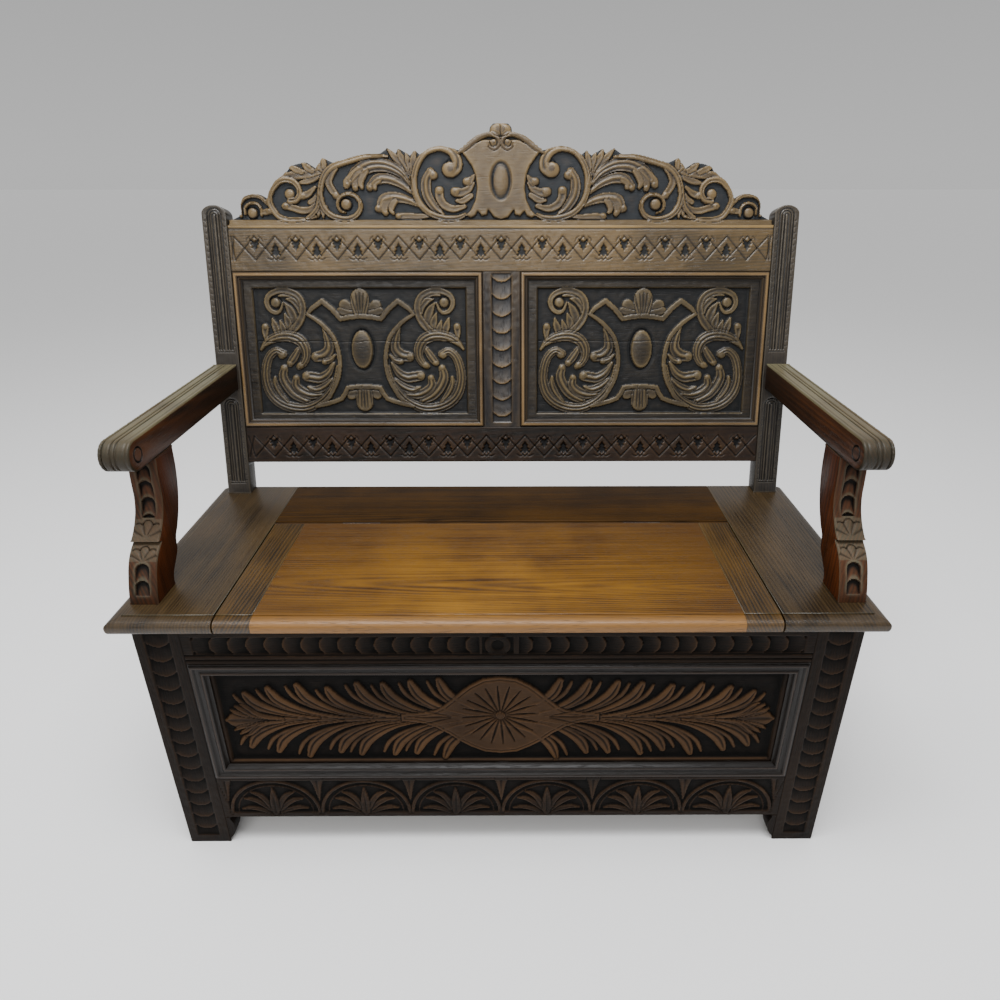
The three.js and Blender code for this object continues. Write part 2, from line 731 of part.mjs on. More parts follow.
// Back panels: a strapwork shield round an oval boss, a leaf at its crown and its foot, and at each side
// an upper scroll with an eye, a lower scroll, an arched leaf between them, and lobes that curl within
const middleLeafShares = [
  [[0, 0.771, 0.053], [0, 0.839, 0.069], [0, 0.901, 0.085], [0, 0.946, 0.063], [0, 0.982, 0.011]],
  [[0, 0.188, 0.085], [0, 0.126, 0.074], [0, 0.072, 0.069], [0, 0.031, 0.042], [0, 0.006, 0.008]],
];
const scrollShares = [
  [[0.476, 0.776, 0.013], [0.423, 0.834, 0.019], [0.35, 0.87, 0.02], [0.265, 0.82, 0.019],
    [0.185, 0.74, 0.019], [-0.01, 0.757, 0.019]],
  [[0.476, 0.776, 0.013], [0.286, 0.632, 0.019], [0.233, 0.462, 0.019], [0.265, 0.274, 0.019],
    [0.365, 0.112, 0.019], [0.471, 0.054, 0.013]],
  [[0.471, 0.054, 0.013], [0.291, 0.103, 0.019], [0.222, 0.135, 0.019], [0.164, 0.206, 0.019],
    [-0.01, 0.206, 0.019]],
  [[0.058, 0.78, 0.037], [0.138, 0.816, 0.045], [0.19, 0.865, 0.037], [0.217, 0.91, 0.011]],
  [[0.074, 0.188, 0.053], [0.116, 0.143, 0.045], [0.143, 0.094, 0.016]],
  [[0.746, 0.816, 0.012], [0.852, 0.821, 0.018], [0.873, 0.883, 0.021], [0.831, 0.937, 0.023],
    [0.709, 0.962, 0.023], [0.582, 0.933, 0.025], [0.529, 0.852, 0.024], [0.545, 0.762, 0.024],
    [0.619, 0.673, 0.024], [0.735, 0.628, 0.021], [0.915, 0.547, 0.011]],
  [[0.8, 0.485, 0.032], [0.915, 0.404, 0.024], [0.955, 0.3, 0.026], [0.95, 0.197, 0.031],
    [0.89, 0.108, 0.034], [0.788, 0.054, 0.034], [0.672, 0.042, 0.03], [0.55, 0.056, 0.026],
    [0.444, 0.112, 0.021], [0.354, 0.202, 0.016], [0.3, 0.3, 0.011], [0.272, 0.413, 0.006]],
  [[0.958, 0.511, 0.011], [0.889, 0.578, 0.021], [0.788, 0.614, 0.024], [0.672, 0.623, 0.024],
    [0.582, 0.592, 0.024], [0.534, 0.534, 0.024], [0.529, 0.457, 0.024], [0.556, 0.399, 0.021],
    [0.614, 0.363, 0.012]],
  [[0.92, 0.511, 0.008], [0.841, 0.552, 0.016], [0.693, 0.547, 0.019], [0.656, 0.507, 0.019],
    [0.651, 0.457, 0.021], [0.683, 0.417, 0.026], [0.755, 0.401, 0.03]],
  [[0.815, 0.372, 0.006], [0.831, 0.3, 0.02], [0.82, 0.233, 0.023], [0.778, 0.166, 0.023],
    [0.709, 0.112, 0.023], [0.524, 0.081, 0.013]],
  [[0.693, 0.287, 0.006], [0.704, 0.233, 0.021], [0.672, 0.179, 0.023], [0.619, 0.143, 0.023],
    [0.466, 0.139, 0.013]],
  [[0.561, 0.283, 0.035], [0.471, 0.265, 0.026], [0.397, 0.291, 0.023], [0.286, 0.426, 0.012]],
  [[0.376, 0.682, 0.005], [0.339, 0.601, 0.021], [0.317, 0.529, 0.026], [0.344, 0.466, 0.033],
    [0.466, 0.439, 0.03]],
  [[0.677, 0.861, 0.005], [0.656, 0.798, 0.02], [0.661, 0.735, 0.021], [0.73, 0.641, 0.016]],
  [[0.92, 0.695, 0.03], [0.926, 0.63, 0.018], [0.92, 0.55, 0.01]],
];
const bossShares = [0, 0.511, 0.1, 0.15];
const eyeShares = [0.788, 0.87, 0.043, 0.037];

function carvedBackPanel(sign) {
  const corners = backPanelCorners(sign);
  const field = {
    middle: sign * (muntinHalf + postInner) / 2,
    half: (postInner - muntinHalf) / 2 - backFieldSide,
    low: lowerRailTop + backFieldEdge,
    tall: backPanelTall - 2 * backFieldEdge,
    deep: backGroundDeep,
  };
  const forms = middleLeafShares.map((shares) => carvedStrip(shares, field, 1));
  const domes = [carvedDome(bossShares, bossRise, corners, field, 1)];
  for (const [, flip] of sides) {
    forms.push(...scrollShares.map((shares) => carvedStrip(shares, field, flip)));
    domes.push(carvedDome(eyeShares, eyeRise, corners, field, flip));
  }
  return carvedPanel(corners, field, forms, domes);
}

function addPosts(group) {
  const seatAt = (depth) => (seam + depth * Math.sin(rake)) / Math.cos(rake);
  const profile = shapeOf([
    [0, seatAt(0)], [postThick, seatAt(postThick)],
    [postThick, postTall + postCrown], [0, postTall + postCrown],
  ]);
  const face = new THREE.Shape();
  const half = postWidth / 2;
  face.moveTo(-half, 0);
  face.lineTo(half, 0);
  face.lineTo(half, postTall);
  face.absellipse(0, postTall, half, postCrown, 0, Math.PI, false, 0);
  face.closePath();
  for (const [side, sign] of sides) {
    const middle = sign * (postInner + half);
    const blank = alongY(face, 0, postThick).translate(middle, 0, 0);
    const shaped = common(blank, alongX(profile, middle - half - overrun, middle + half + overrun));
    const sockets = Object.values(backRails)
      .map((corners) => tenonBar(corners, 0, 1, backTenonLong, socketFit));
    piece(group, `back_post_${side}`, cut(shaped, ...sockets, grown(backPanelCorners(sign), seam)));
  }
}

function addBackFrame(group) {
  const panels = sides.map(([, sign]) => grown(backPanelCorners(sign), seam));
  const muntinSocket = tenonBar(muntinCorners, 2, 1, backTenonLong, socketFit);
  for (const [level, corners] of Object.entries(backRails)) {
    piece(group, level === "lower" ? "lower_back_rail" : "frieze_rail",
      cut(tenonedRail(corners, 0, 1, backTenonLong), muntinSocket, ...panels));
  }
  piece(group, "back_muntin", cut(tenonedRail(muntinCorners, 2, 1, backTenonLong), ...panels));
  for (const [side, sign] of sides) {
    piece(group, `back_panel_${side}`, carvedBackPanel(sign));
    const ends = [sign * muntinHalf, sign * postInner].sort((a, b) => a - b);
    addMouldings(group, `back_moulding_${side}`,
      [[ends[0], lowerRailTop], [ends[1], friezeLow]], backPanelFace,
      { shares: backMouldShares, width: backMouldWidth, height: backMouldTall });
  }
}

// Crest outline from its middle outwards: shares of the carved half width, and of the height above
// the plain band. Each list is one swelling of the scrolls and leaves, met at a notch.
const crestShares = [
  [[0.027, 1], [0.04, 0.96], [0.043, 0.905]],
  [[0.09, 0.865], [0.13, 0.78], [0.158, 0.715]],
  [[0.19, 0.735], [0.228, 0.755], [0.27, 0.73], [0.305, 0.665]],
  [[0.325, 0.71], [0.345, 0.66]],
  [[0.385, 0.73], [0.4, 0.68]],
  [[0.43, 0.735], [0.46, 0.675]],
  [[0.515, 0.668], [0.56, 0.64], [0.605, 0.6], [0.64, 0.585]],
  [[0.675, 0.63], [0.703, 0.52]],
  [[0.738, 0.585], [0.79, 0.555], [0.828, 0.45]],
  [[0.862, 0.375], [0.885, 0.27], [0.895, 0.19]],
  [[0.92, 0.235], [0.95, 0.24], [0.985, 0.205], [1, 0.12], [0.998, 0.02]],
];

function crestHalf(sign) {
  const carvedTall = crestTall - crestBandTall;
  const bandTop = friezeHigh + crestBandTall;
  return crestShares.map((run) => run.map(([out, up]) =>
    new THREE.Vector2(sign * out * crestHalfCarved, bandTop + up * carvedTall)));
}

function addCrest(group) {
  const low = friezeHigh + seam;
  const endX = postInner - crestEndGap;
  const outline = new THREE.Shape();
  outline.moveTo(endX, low);
  outline.lineTo(endX, low + crestBandTall / 2);
  for (const run of crestHalf(1).reverse()) {
    const [first, ...rest] = run.reverse();
    outline.lineTo(first.x, first.y);
    if (rest.length) outline.splineThru(rest);
  }
  for (const run of crestHalf(-1)) {
    const [first, ...rest] = run;
    outline.lineTo(first.x, first.y);
    if (rest.length) outline.splineThru(rest);
  }
  outline.lineTo(-endX, low + crestBandTall / 2);
  outline.lineTo(-endX, low);
  outline.closePath();
  piece(group, "crest", alongY(outline, backSet, backRear, splineSteps));
}

const settle = new THREE.Group();
const layout = new THREE.Group();
layout.position.y = -middleY;
settle.add(layout);

const box = new THREE.Group();
addStiles(box);
addRails(box);
addPanels(box);
addBrackets(box);
addMouldings(box, "front_moulding", [[-openHalf, openLow], [openHalf, openHigh]], frontPanelSet,
  { shares: frontMouldShares, width: frontMouldWidth, height: frontMouldTall });
addFloor(box);
addSeat(box);
addHingeRail(box);
addSupports(box);
addArms(box);
layout.add(box);

const lid = new THREE.Group();
addLid(lid);
addHinges(box, lid);
layout.add(lid);

const back = new THREE.Group();
back.position.set(0, postFrontY, seatHeight);
back.rotation.x = -rake;
addPosts(back);
addBackFrame(back);
addCrest(back);
layout.add(back);

export default settle;
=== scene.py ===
import math

import bmesh
import bpy
import numpy as np
from mathutils import Matrix, Vector


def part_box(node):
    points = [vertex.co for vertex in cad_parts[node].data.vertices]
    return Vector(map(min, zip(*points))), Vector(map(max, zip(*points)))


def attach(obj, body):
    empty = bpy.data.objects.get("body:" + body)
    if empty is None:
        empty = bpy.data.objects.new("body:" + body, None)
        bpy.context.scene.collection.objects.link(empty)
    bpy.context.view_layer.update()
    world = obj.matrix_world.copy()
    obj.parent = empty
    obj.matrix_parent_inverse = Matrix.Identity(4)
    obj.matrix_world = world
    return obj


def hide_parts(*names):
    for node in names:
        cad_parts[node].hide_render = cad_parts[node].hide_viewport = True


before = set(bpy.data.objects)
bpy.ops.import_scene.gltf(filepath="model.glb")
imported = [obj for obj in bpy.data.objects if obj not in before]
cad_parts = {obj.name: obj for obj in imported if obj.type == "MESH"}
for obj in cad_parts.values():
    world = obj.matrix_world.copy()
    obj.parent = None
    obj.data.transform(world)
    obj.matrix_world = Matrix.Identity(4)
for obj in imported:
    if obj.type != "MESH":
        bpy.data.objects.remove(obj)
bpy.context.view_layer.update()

# Front stiles
# Two oak uprights that run down into the front feet. A sunk channel with a stack of gouged scales runs
# down each one, between a plain outer margin and the margin where the rails are tenoned in.
MM = 0.001
WELD = 1e-6
FLUSH = 2e-5
LEVEL = Matrix.Translation((0, -0.263337, 0))
SIDES = (("left", -1), ("right", 1))
GOUGE_HALF = 0.9
GOUGE_DEPTH = 1.4
ROUNDING = 0.9
SCALE_PITCH = 26.0
SCALE_DEPTH = 3.4
STILE_STEP = 1.3
STILE_MIDDLE = 480.0
STILE_CHANNEL_HALF = 18.0
STILE_CHANNEL_TOP = 420.0
STILE_CHANNEL_RUN = (2, 404)
PORE_COLOUR = "#120b06"


def linear(colour):
    """An sRGB hex colour as linear red, green, blue and alpha."""
    parts = [int(colour[i:i + 2], 16) / 255 for i in (1, 3, 5)]
    return [c / 12.92 if c < 0.04045 else ((c + 0.055) / 1.055) ** 2.4 for c in parts] + [1.0]


def add(tree, kind, links=None, out=0, **settings):
    """A node with its settings and its inputs, by name or number: a socket is linked, a value is set."""
    node = tree.nodes.new(kind)
    for key, value in settings.items():
        setattr(node, key, value)
    for key, value in (links or {}).items():
        if isinstance(value, bpy.types.NodeSocket):
            tree.links.new(value, node.inputs[key])
        else:
            node.inputs[key].default_value = value
    return node.outputs[out] if node.outputs else node


def bare_material(name):
    """A new material with an empty node tree."""
    material = bpy.data.materials.new(name)
    material.use_nodes = True
    material.node_tree.nodes.clear()
    return material, material.node_tree


def waxed_oak(name, grain, pith, dark, light, worn_and_highlight, recess, rough, ring=4.5, lean=0.0, nosing=None,
              shine=0.5):
    """Flat-sawn oak, stained and waxed. Growth rings 4 to 5 mm apart open into long arches and fade in
    places, the open pores are drawn about twice their real width so that they show, and rubbed edges are
    paler, partly from wear and partly as a painted highlight. The cuts take the recess colour, which is
    partly old wax and partly painted shade, in some of the oaks below tinted blue-grey as a painted
    reflection."""
    material, tree = bare_material(name)
    place = add(tree, "ShaderNodeTexCoord", out="Object")
    board, rubbed_and_highlit, sunk = [add(tree, "ShaderNodeAttribute", out="Fac", attribute_name=key)
                           for key in ("board", "wear_and_highlight", "sunk")]
    upright = add(tree, "ShaderNodeMapping", {0: place, 2: (lean, 0, 0)})
    turn = {"x": (0, 0, 0), "y": (0, 0, math.pi / 2), "z": (0, math.pi / 2, 0)}[grain]
    turned = add(tree, "ShaderNodeMapping", {0: upright, 2: turn})
    own = add(tree, "ShaderNodeVectorMath", {0: board, 1: (1.7, 0.05, 0.02), 2: turned},
              operation="MULTIPLY_ADD")
    log = add(tree, "ShaderNodeMapping", {0: own, 1: (0, -pith[0], -pith[1]), 2: (0, 0.045, 0.025)})
    stretched = add(tree, "ShaderNodeMapping", {0: log, 3: (0.06, 1, 1)})
    rings = add(tree, "ShaderNodeTexWave",
                {0: stretched, "Scale": 2 * math.pi / 20 / (ring * MM), "Distortion": 8.0,
                 "Detail": 3.0, "Detail Scale": 0.35, "Detail Roughness": 0.62},
                out="Fac", wave_type="RINGS", rings_direction="X")
    cloud = add(tree, "ShaderNodeTexNoise", {0: own, "Scale": 8.0, "Detail": 3.0})
    fibres = []
    for stretch, detail in (((50, 800, 800), 2.0), ((5, 110, 110), 4.0), ((3, 22, 22), 2.0)):
        fibre = add(tree, "ShaderNodeMapping", {0: own, 3: stretch})
        fibres.append(add(tree, "ShaderNodeTexNoise", {0: fibre, "Scale": 1.0, "Detail": detail}))
    pores, streaks, drift = fibres
    clear = add(tree, "ShaderNodeMapRange", {0: drift, 1: 0.34, 2: 0.58, 3: 0.3, 4: 1.0})
    rings = add(tree, "ShaderNodeMath", {0: rings, 1: clear}, operation="MULTIPLY")
    early = add(tree, "ShaderNodeMath", {0: rings, 1: 0.7, 2: 0.3}, operation="MULTIPLY_ADD")
    pore = add(tree, "ShaderNodeMapRange", {0: pores, 1: 0.54, 2: 0.68})
    for share in (early, 0.6):
        pore = add(tree, "ShaderNodeMath", {0: pore, 1: share}, operation="MULTIPLY")
    tone = -0.1
    for field, share in ((cloud, 0.8), (streaks, 0.6), (early, -0.45)):
        tone = add(tree, "ShaderNodeMath", {0: field, 1: share, 2: tone}, operation="MULTIPLY_ADD")
    tone = add(tree, "ShaderNodeMapRange", {0: tone, 1: 0.05, 2: 0.65})
    patchy = add(tree, "ShaderNodeMapRange", {0: cloud, 1: 0.3, 2: 0.62, 3: 0.5})
    rub_and_highlight = add(tree, "ShaderNodeMath", {0: rubbed_and_highlit, 1: patchy}, operation="MULTIPLY", use_clamp=True)
    layers = [(tone, light), (pore, PORE_COLOUR), (rub_and_highlight, worn_and_highlight), (sunk, recess)]
    if nosing:
        x, y = add(tree, "ShaderNodeSeparateXYZ", {0: place}).node.outputs[:2]
        back = add(tree, "ShaderNodeMapRange", {0: y, 1: -0.14, 2: 0.04, 3: 0.0, 4: 0.7})
        along = add(tree, "ShaderNodeMath", {0: x}, operation="ABSOLUTE")
        along = add(tree, "ShaderNodeMath", {0: cloud, 1: 0.25, 2: along}, operation="MULTIPLY_ADD")
        end = add(tree, "ShaderNodeMapRange", {0: along, 1: 0.2, 2: 0.5, 3: 0.0, 4: 0.7})
        front = add(tree, "ShaderNodeMapRange", {0: y, 1: nosing[0], 2: nosing[1], 3: 1.0, 4: 0.0})
        layers[1:1] = [(back, dark), (end, dark), (front, worn_and_highlight)]
    colour = linear(dark)
    for share, tint in layers:
        colour = add(tree, "ShaderNodeMix", {0: share, 6: colour, 7: linear(tint)}, out=2, data_type="RGBA")
    gloss, height = rough - 0.08, cloud
    for field in (sunk, streaks):
        gloss = add(tree, "ShaderNodeMath", {0: field, 1: 0.16, 2: gloss}, operation="MULTIPLY_ADD")
    for field, share in ((streaks, 0.5), (pore, -1.4)):
        height = add(tree, "ShaderNodeMath", {0: field, 1: share, 2: height}, operation="MULTIPLY_ADD")
    bump = add(tree, "ShaderNodeBump", {"Height": height, "Distance": 0.0005, "Strength": 0.55})
    sheen_and_polish = add(tree, "ShaderNodeMath", {0: sunk, 1: -0.3 * shine, 2: shine}, operation="MULTIPLY_ADD")
    shader = add(tree, "ShaderNodeBsdfPrincipled",
                 {"Base Color": colour, "Roughness": gloss, "Normal": bump, "IOR": 1.5,
                  "Specular IOR Level": sheen_and_polish})
    add(tree, "ShaderNodeOutputMaterial", {0: shader})
    return material


def clamp(t):
    return np.clip(t, 0, 1)


def arc(t):
    """How high a quarter round stands at a share of its reach."""
    return np.sqrt(1 - clamp(t) ** 2)


def bell(t):
    return np.exp(-t ** 2)


def smooth_line(points, steps=6):
    """A smooth line through given places, each with its half width. One step keeps it straight."""
    p = np.array(points, float)
    p = np.vstack([2 * p[0] - p[1], p, 2 * p[-1] - p[-2]])
    t = np.linspace(0, 1, steps, endpoint=False)[:, None]
    runs = [0.5 * (2 * b + (c - a) * t + (2 * a - 5 * b + 4 * c - d) * t ** 2
                   + (3 * b - a - 3 * c + d) * t ** 3)
            for a, b, c, d in zip(p, p[1:], p[2:], p[3:])]
    return np.vstack(runs + [p[-2:-1]])


def closed(outline):
    return np.array([(x, z, 1.0) for x, z in outline + outline[:1]])


def beside(line, X, Z):
    """For each place: how far the line is, its half width there, and on which side of it the place lies."""
    best = np.full(X.shape, 1e9)
    wide = np.ones(X.shape)
    side = np.ones(X.shape)
    for a, b in zip(line, line[1:]):
        e = b[:2] - a[:2]
        t = clamp(((X - a[0]) * e[0] + (Z - a[1]) * e[1]) / max(e @ e, 1e-9))
        dx, dz = X - a[0] - t * e[0], Z - a[1] - t * e[1]
        d = np.hypot(dx, dz)
        near = d < best
        best = np.where(near, d, best)
        wide = np.where(near, a[2] + t * (b[2] - a[2]), wide)
        side = np.where(near, np.sign(e[0] * dz - e[1] * dx), side)
    return best, np.maximum(wide, 0.05), side


def within(outline, X, Z):
    """Which places lie inside a closed outline."""
    inside = np.zeros(X.shape, bool)
    for (ax, az), (bx, bz) in zip(outline, outline[1:] + outline[:1]):
        if az != bz:
            inside ^= ((az > Z) != (bz > Z)) & (X < (bx - ax) * (Z - az) / (bz - az) + ax)
    return inside


def blurred(field, reach):
    """A field softened over its neighbours, twice along each way."""
    wide = 2 * reach + 1
    for axis in (0, 0, 1, 1):
        room = [(reach + 1, reach) if a == axis else (0, 0) for a in (0, 1)]
        total = np.cumsum(np.pad(field, room, "edge"), axis)
        count = total.shape[axis]
        field = (np.take(total, range(wide, count), axis) - np.take(total, range(count - wide), axis)) / wide
    return field


class Relief:
    """The carved face of one board, as heights in millimetres over a grid. Zero is the uncut face. Bare is
    the share of the wear and painted highlight that the uncut face gets, handled the share that the whole
    board gets, and the polish share the least of it anywhere, which is partly a painted sheen."""

    def __init__(self, low, high, step):
        self.x, self.z = [np.linspace(a, b, max(2, round((b - a) / step)) + 1) for a, b in zip(low, high)]
        self.X, self.Z = np.meshgrid(self.x, self.z, indexing="ij")
        self.gaps = {"l": self.X - self.x[0], "r": self.x[-1] - self.X,
                     "b": self.Z - self.z[0], "t": self.z[-1] - self.Z}
        self.h = np.zeros(self.X.shape)
        self.ground, self.bare, self.handled, self.sheen_and_polish = 0.0, 0.4, 1.0, 0.0

    def around(self, line, margin):
        """The cells round a line, and how each of them lies beside it."""
        low, high = line[:, :2].min(0) - margin, line[:, :2].max(0) + margin
        cell = tuple(slice(*np.searchsorted(at, ends)) for at, ends in zip((self.x, self.z), zip(low, high)))
        return cell, beside(line, self.X[cell], self.Z[cell])

    def sink(self, low, high, depth, slope=1.5):
        """A flat sunk field with sloping edges."""
        away = np.maximum.reduce([low[0] - self.X, self.X - high[0], low[1] - self.Z, self.Z - high[1]])
        self.h = np.minimum(self.h, -depth * clamp(-away / slope))
        self.ground = -depth

    def ridge(self, points, rise, wall=0.5, groove=0.0, lean=0.25, steps=6, shade=GOUGE_DEPTH, ribs=0):
        """A raised stem or leaf lobe along a line of places with half widths, cut round with a gouge. It
        has one groove, set off to a side by its lean, or a number of ribs."""
        line = smooth_line(points, steps)
        cell, (d, wide, side) = self.around(line, line[:, 2].max() + 4)
        t = np.minimum(d / wide, 1)
        top = self.ground + rise * (wall + (1 - wall) * arc(t))
        if ribs:
            ribbed = 0.5 - 0.5 * np.cos(math.pi * ribs * (side * t + 1))
            top -= groove * ribbed * np.clip(wide / 6, 0.3, 1)
        else:
            top -= groove * bell((side * t - lean) / 0.24)
        h = self.h[cell]
        shadow = shade * bell((d - wide) / GOUGE_HALF) * (h > self.ground + 0.6)
        self.h[cell] = np.where(d < wide, np.maximum(h, top), h - shadow)

    def dome(self, x, z, rx, rz, rise, wall=0.3, base=None, shade=1.5):
        """A boss or the eye of a scroll."""
        t = np.hypot((self.X - x) / rx, (self.Z - z) / rz)
        base = self.ground if base is None else base
        top = base + rise * (wall + (1 - wall) * arc(t))
        gap = bell((t - 1) * min(rx, rz) - 0.5) * shade
        self.h = np.where(t < 1, np.maximum(self.h, top), self.h - gap)

    def hollow(self, x, z, rx, rz, depth):
        """A dished oval."""
        self.h -= depth * arc(np.hypot((self.X - x) / rx, (self.Z - z) / rz))

    def plate(self, outline, rise, edge=2.5, line=0.0, dish=0.0):
        """A raised flat shape with a rounded edge, and a thin line set in from it."""
        cell, (d, _, _) = self.around(closed(outline), 4)
        top = self.ground + rise * (0.5 + 0.5 * arc(1 - d / edge)) - dish * clamp((d - line - 2) / 12)
        if line:
            top -= 1.1 * bell((d - line) / GOUGE_HALF)
        h = self.h[cell]
        shadow = GOUGE_DEPTH * bell(d / GOUGE_HALF) * (h > self.ground + 0.6)
        inside = within(outline, self.X[cell], self.Z[cell])
        self.h[cell] = np.where(inside, np.maximum(h, top), h - shadow)

    def cut(self, points, depth, steps=6):
        """A V-cut along a line of places with half widths."""
        line = smooth_line(points, steps)
        cell, (d, wide, _) = self.around(line, line[:, 2].max() + 2)
        self.h[cell] -= depth * clamp(1 - d / wide)

    def pit(self, outline, depth, slope=1.6):
        """A sunk shape set in with a chisel."""
        cell, (d, _, _) = self.around(closed(outline), 2)
        self.h[cell] -= depth * clamp(d / slope) * within(outline, self.X[cell], self.Z[cell])

    def pairs(self, middle, runs, rise, groove=0.0, wall=0.5, shade=GOUGE_DEPTH, full=1.0, ribs=0):
        """Lobes on one side of a middle line and their mirrored twins, none of them quite alike."""
        for index, run in enumerate(runs):
            for flip in (1, -1):
                sway = 0.7 * math.sin(index * 2.4 + flip * 1.3)
                lobe = [(middle + flip * x + sway, z + 0.6 * sway, w * full) for x, z, w in run]
                self.ridge(lobe, rise, wall, groove, flip * 0.25, shade=shade, ribs=ribs)

    def knobs(self, middle, places, rise):
        """Curled tips of leaves, in mirrored pairs."""
        for x, z, r in places:
            for flip in (-1, 1):
                self.dome(middle + flip * x, z, r, r * 0.92, rise, wall=0.25, shade=0)

    def ease(self, radius, sides):
        """Rubbed arrises along some of the board's own edges: left, right, bottom or top."""
        for key in sides:
            self.h -= radius * (1 - arc(1 - self.gaps[key] / radius)) * ROUNDING

    def tooled(self, seed, amount=0.12):
        """The slight waves that a gouge or plane leaves, none of them along the outer edges."""
        noise = blurred(np.random.default_rng(seed).normal(size=self.h.shape), 2) * 5
        self.h += noise * amount * clamp(np.minimum.reduce(list(self.gaps.values())) / 3)

    def marks(self):
        """How rubbed and how sunk each place is. Forms that stand above what lies round them get wear and a
        painted highlight, the uncut face as much as it is bare, and whatever is lower than its surroundings
        gets old wax and painted shade."""
        wide, near, close = [blurred(self.h, reach) for reach in (5, 2, 1)]
        wear_and_highlight = clamp((self.h - wide) / 2.4) * 0.7 + clamp((self.h - close) / 0.3) * 0.25
        wear_and_highlight += clamp((self.h - self.ground - 1.8) / 2.2) * (self.h < -0.3) * 0.4
        wear_and_highlight = np.maximum(wear_and_highlight * self.handled * np.where(self.h > -0.3, self.bare, 1), self.sheen_and_polish)
        sunk = clamp((wide - self.h) / 1.5) * 0.75 + clamp((-self.h - 2.0) / 2.6) * 0.6
        sunk = np.maximum(sunk, clamp((near - self.h - 0.08) / 0.5) * 0.75)
        return clamp(wear_and_highlight), clamp(sunk)


def quads(at):
    """The four corners of each cell of a grid of numbered places."""
    return np.stack([at[:-1, :-1], at[1:, :-1], at[1:, 1:], at[:-1, 1:]], -1)


def merged(node, board, blank=None):
    """A CAD board in its own upright frame, as whole flat faces, or the uncut blank between two corners."""
    bm = bmesh.new()
    if blank:
        low, high = Vector(blank[0]) * MM, Vector(blank[1]) * MM
        place = Matrix.Translation((low + high) / 2) @ Matrix.Diagonal(high - low).to_4x4()
        bmesh.ops.create_cube(bm, size=1, matrix=place)
        return bm
    bm.from_mesh(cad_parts[node].data)
    bmesh.ops.remove_doubles(bm, verts=bm.verts, dist=WELD)
    bm.transform(board.inverted())
    bmesh.ops.dissolve_limit(bm, angle_limit=0.002, verts=bm.verts[:], edges=bm.edges[:])
    return bm


def written(bm, mesh):
    bm.to_mesh(mesh)
    bm.free()
    return mesh


def gridded(node, board, relief, blank):
    """A board whose front face, inside the relief's corners, is cut into the relief's grid."""
    bm = merged(node, board, blank)
    front = min(v.co.y for v in bm.verts)
    lines = {0: relief.x * MM, 2: relief.z * MM}
    ends = {axis: (line[0], line[-1]) for axis, line in lines.items()}

    def faces():
        return [f for f in bm.faces if f.normal.y < -0.99 and abs(f.calc_center_median().y - front) < FLUSH]

    for axis, pair in ends.items():
        for value in pair:
            flat = faces()
            parts = set(flat) | {e for f in flat for e in f.edges} | {v for f in flat for v in f.verts}
            spot, way = Vector((0, 0, 0)), Vector((0, 0, 0))
            spot[axis], way[axis] = value, 1
            bmesh.ops.bisect_plane(bm, geom=list(parts), dist=2 * WELD, plane_co=spot, plane_no=way)
    gone = [f for f in faces()
            if all(low < f.calc_center_median()[axis] < high for axis, (low, high) in ends.items())]
    bmesh.ops.delete(bm, geom=gone, context="FACES")
    for edge in [e for e in bm.edges if len(e.link_faces) == 1]:
        start, end = edge.verts
        axis = 0 if abs(start.co.x - end.co.x) > abs(start.co.z - end.co.z) else 2
        low, high = sorted((start.co[axis], end.co[axis]))
        cuts = [v for v in lines[axis] if low + 2 * WELD < v < high - 2 * WELD]
        for value in cuts if start.co[axis] < end.co[axis] else cuts[::-1]:
            share = (value - start.co[axis]) / (end.co[axis] - start.co[axis])
            _, fresh = bmesh.utils.edge_split(edge, start, share)
            edge = next(e for e in fresh.link_edges if end in e.verts)
            start = fresh
    spots = np.stack([relief.X * MM, np.full(relief.X.shape, front), relief.Z * MM], -1).reshape(-1, 3)
    grid = bpy.data.meshes.new("grid")
    grid.from_pydata(spots, [], quads(np.arange(relief.X.size).reshape(relief.X.shape)).reshape(-1, 4))
    bm.from_mesh(grid)
    bpy.data.meshes.remove(grid)
    near = [v for v in bm.verts if abs(v.co.y - front) < FLUSH and any(
        abs(v.co[axis] - end) < 10 * WELD for axis, pair in ends.items() for end in pair)]
    bmesh.ops.remove_doubles(bm, verts=near, dist=4 * WELD)
    return written(bm, bpy.data.meshes.new(node)), front


def read(items, key, kind=int, size=1):
    """One value, or a few, of every vertex, corner or face of a mesh."""
    values = np.zeros(len(items) * size, kind)
    items.foreach_get(key, values)
    return values


def note(mesh, name, values, domain="POINT"):
    layer = mesh.attributes.get(name) or mesh.attributes.new(name, "FLOAT", domain)
    layer.data.foreach_set("value", np.asarray(values, np.float32))


def shown(name, data):
    """An object in the scene."""
    thing = bpy.data.objects.new(name, data)
    bpy.context.scene.collection.objects.link(thing)
    return thing


boards = 0


def put(mesh, name, body, material, nodes, board=None):
    """A finished mesh as a piece of the settle: placed, named, dressed, and riding on its body."""
    global boards
    boards += 1
    note(mesh, "board", np.full(len(mesh.vertices), (boards * 0.618) % 1))
    if board is not None:
        mesh.transform(board)
    mesh.materials.clear()
    mesh.materials.append(material)
    mesh.name = name
    piece = shown(name, mesh)
    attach(piece, body)
    if nodes:
        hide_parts(*nodes)
    return piece


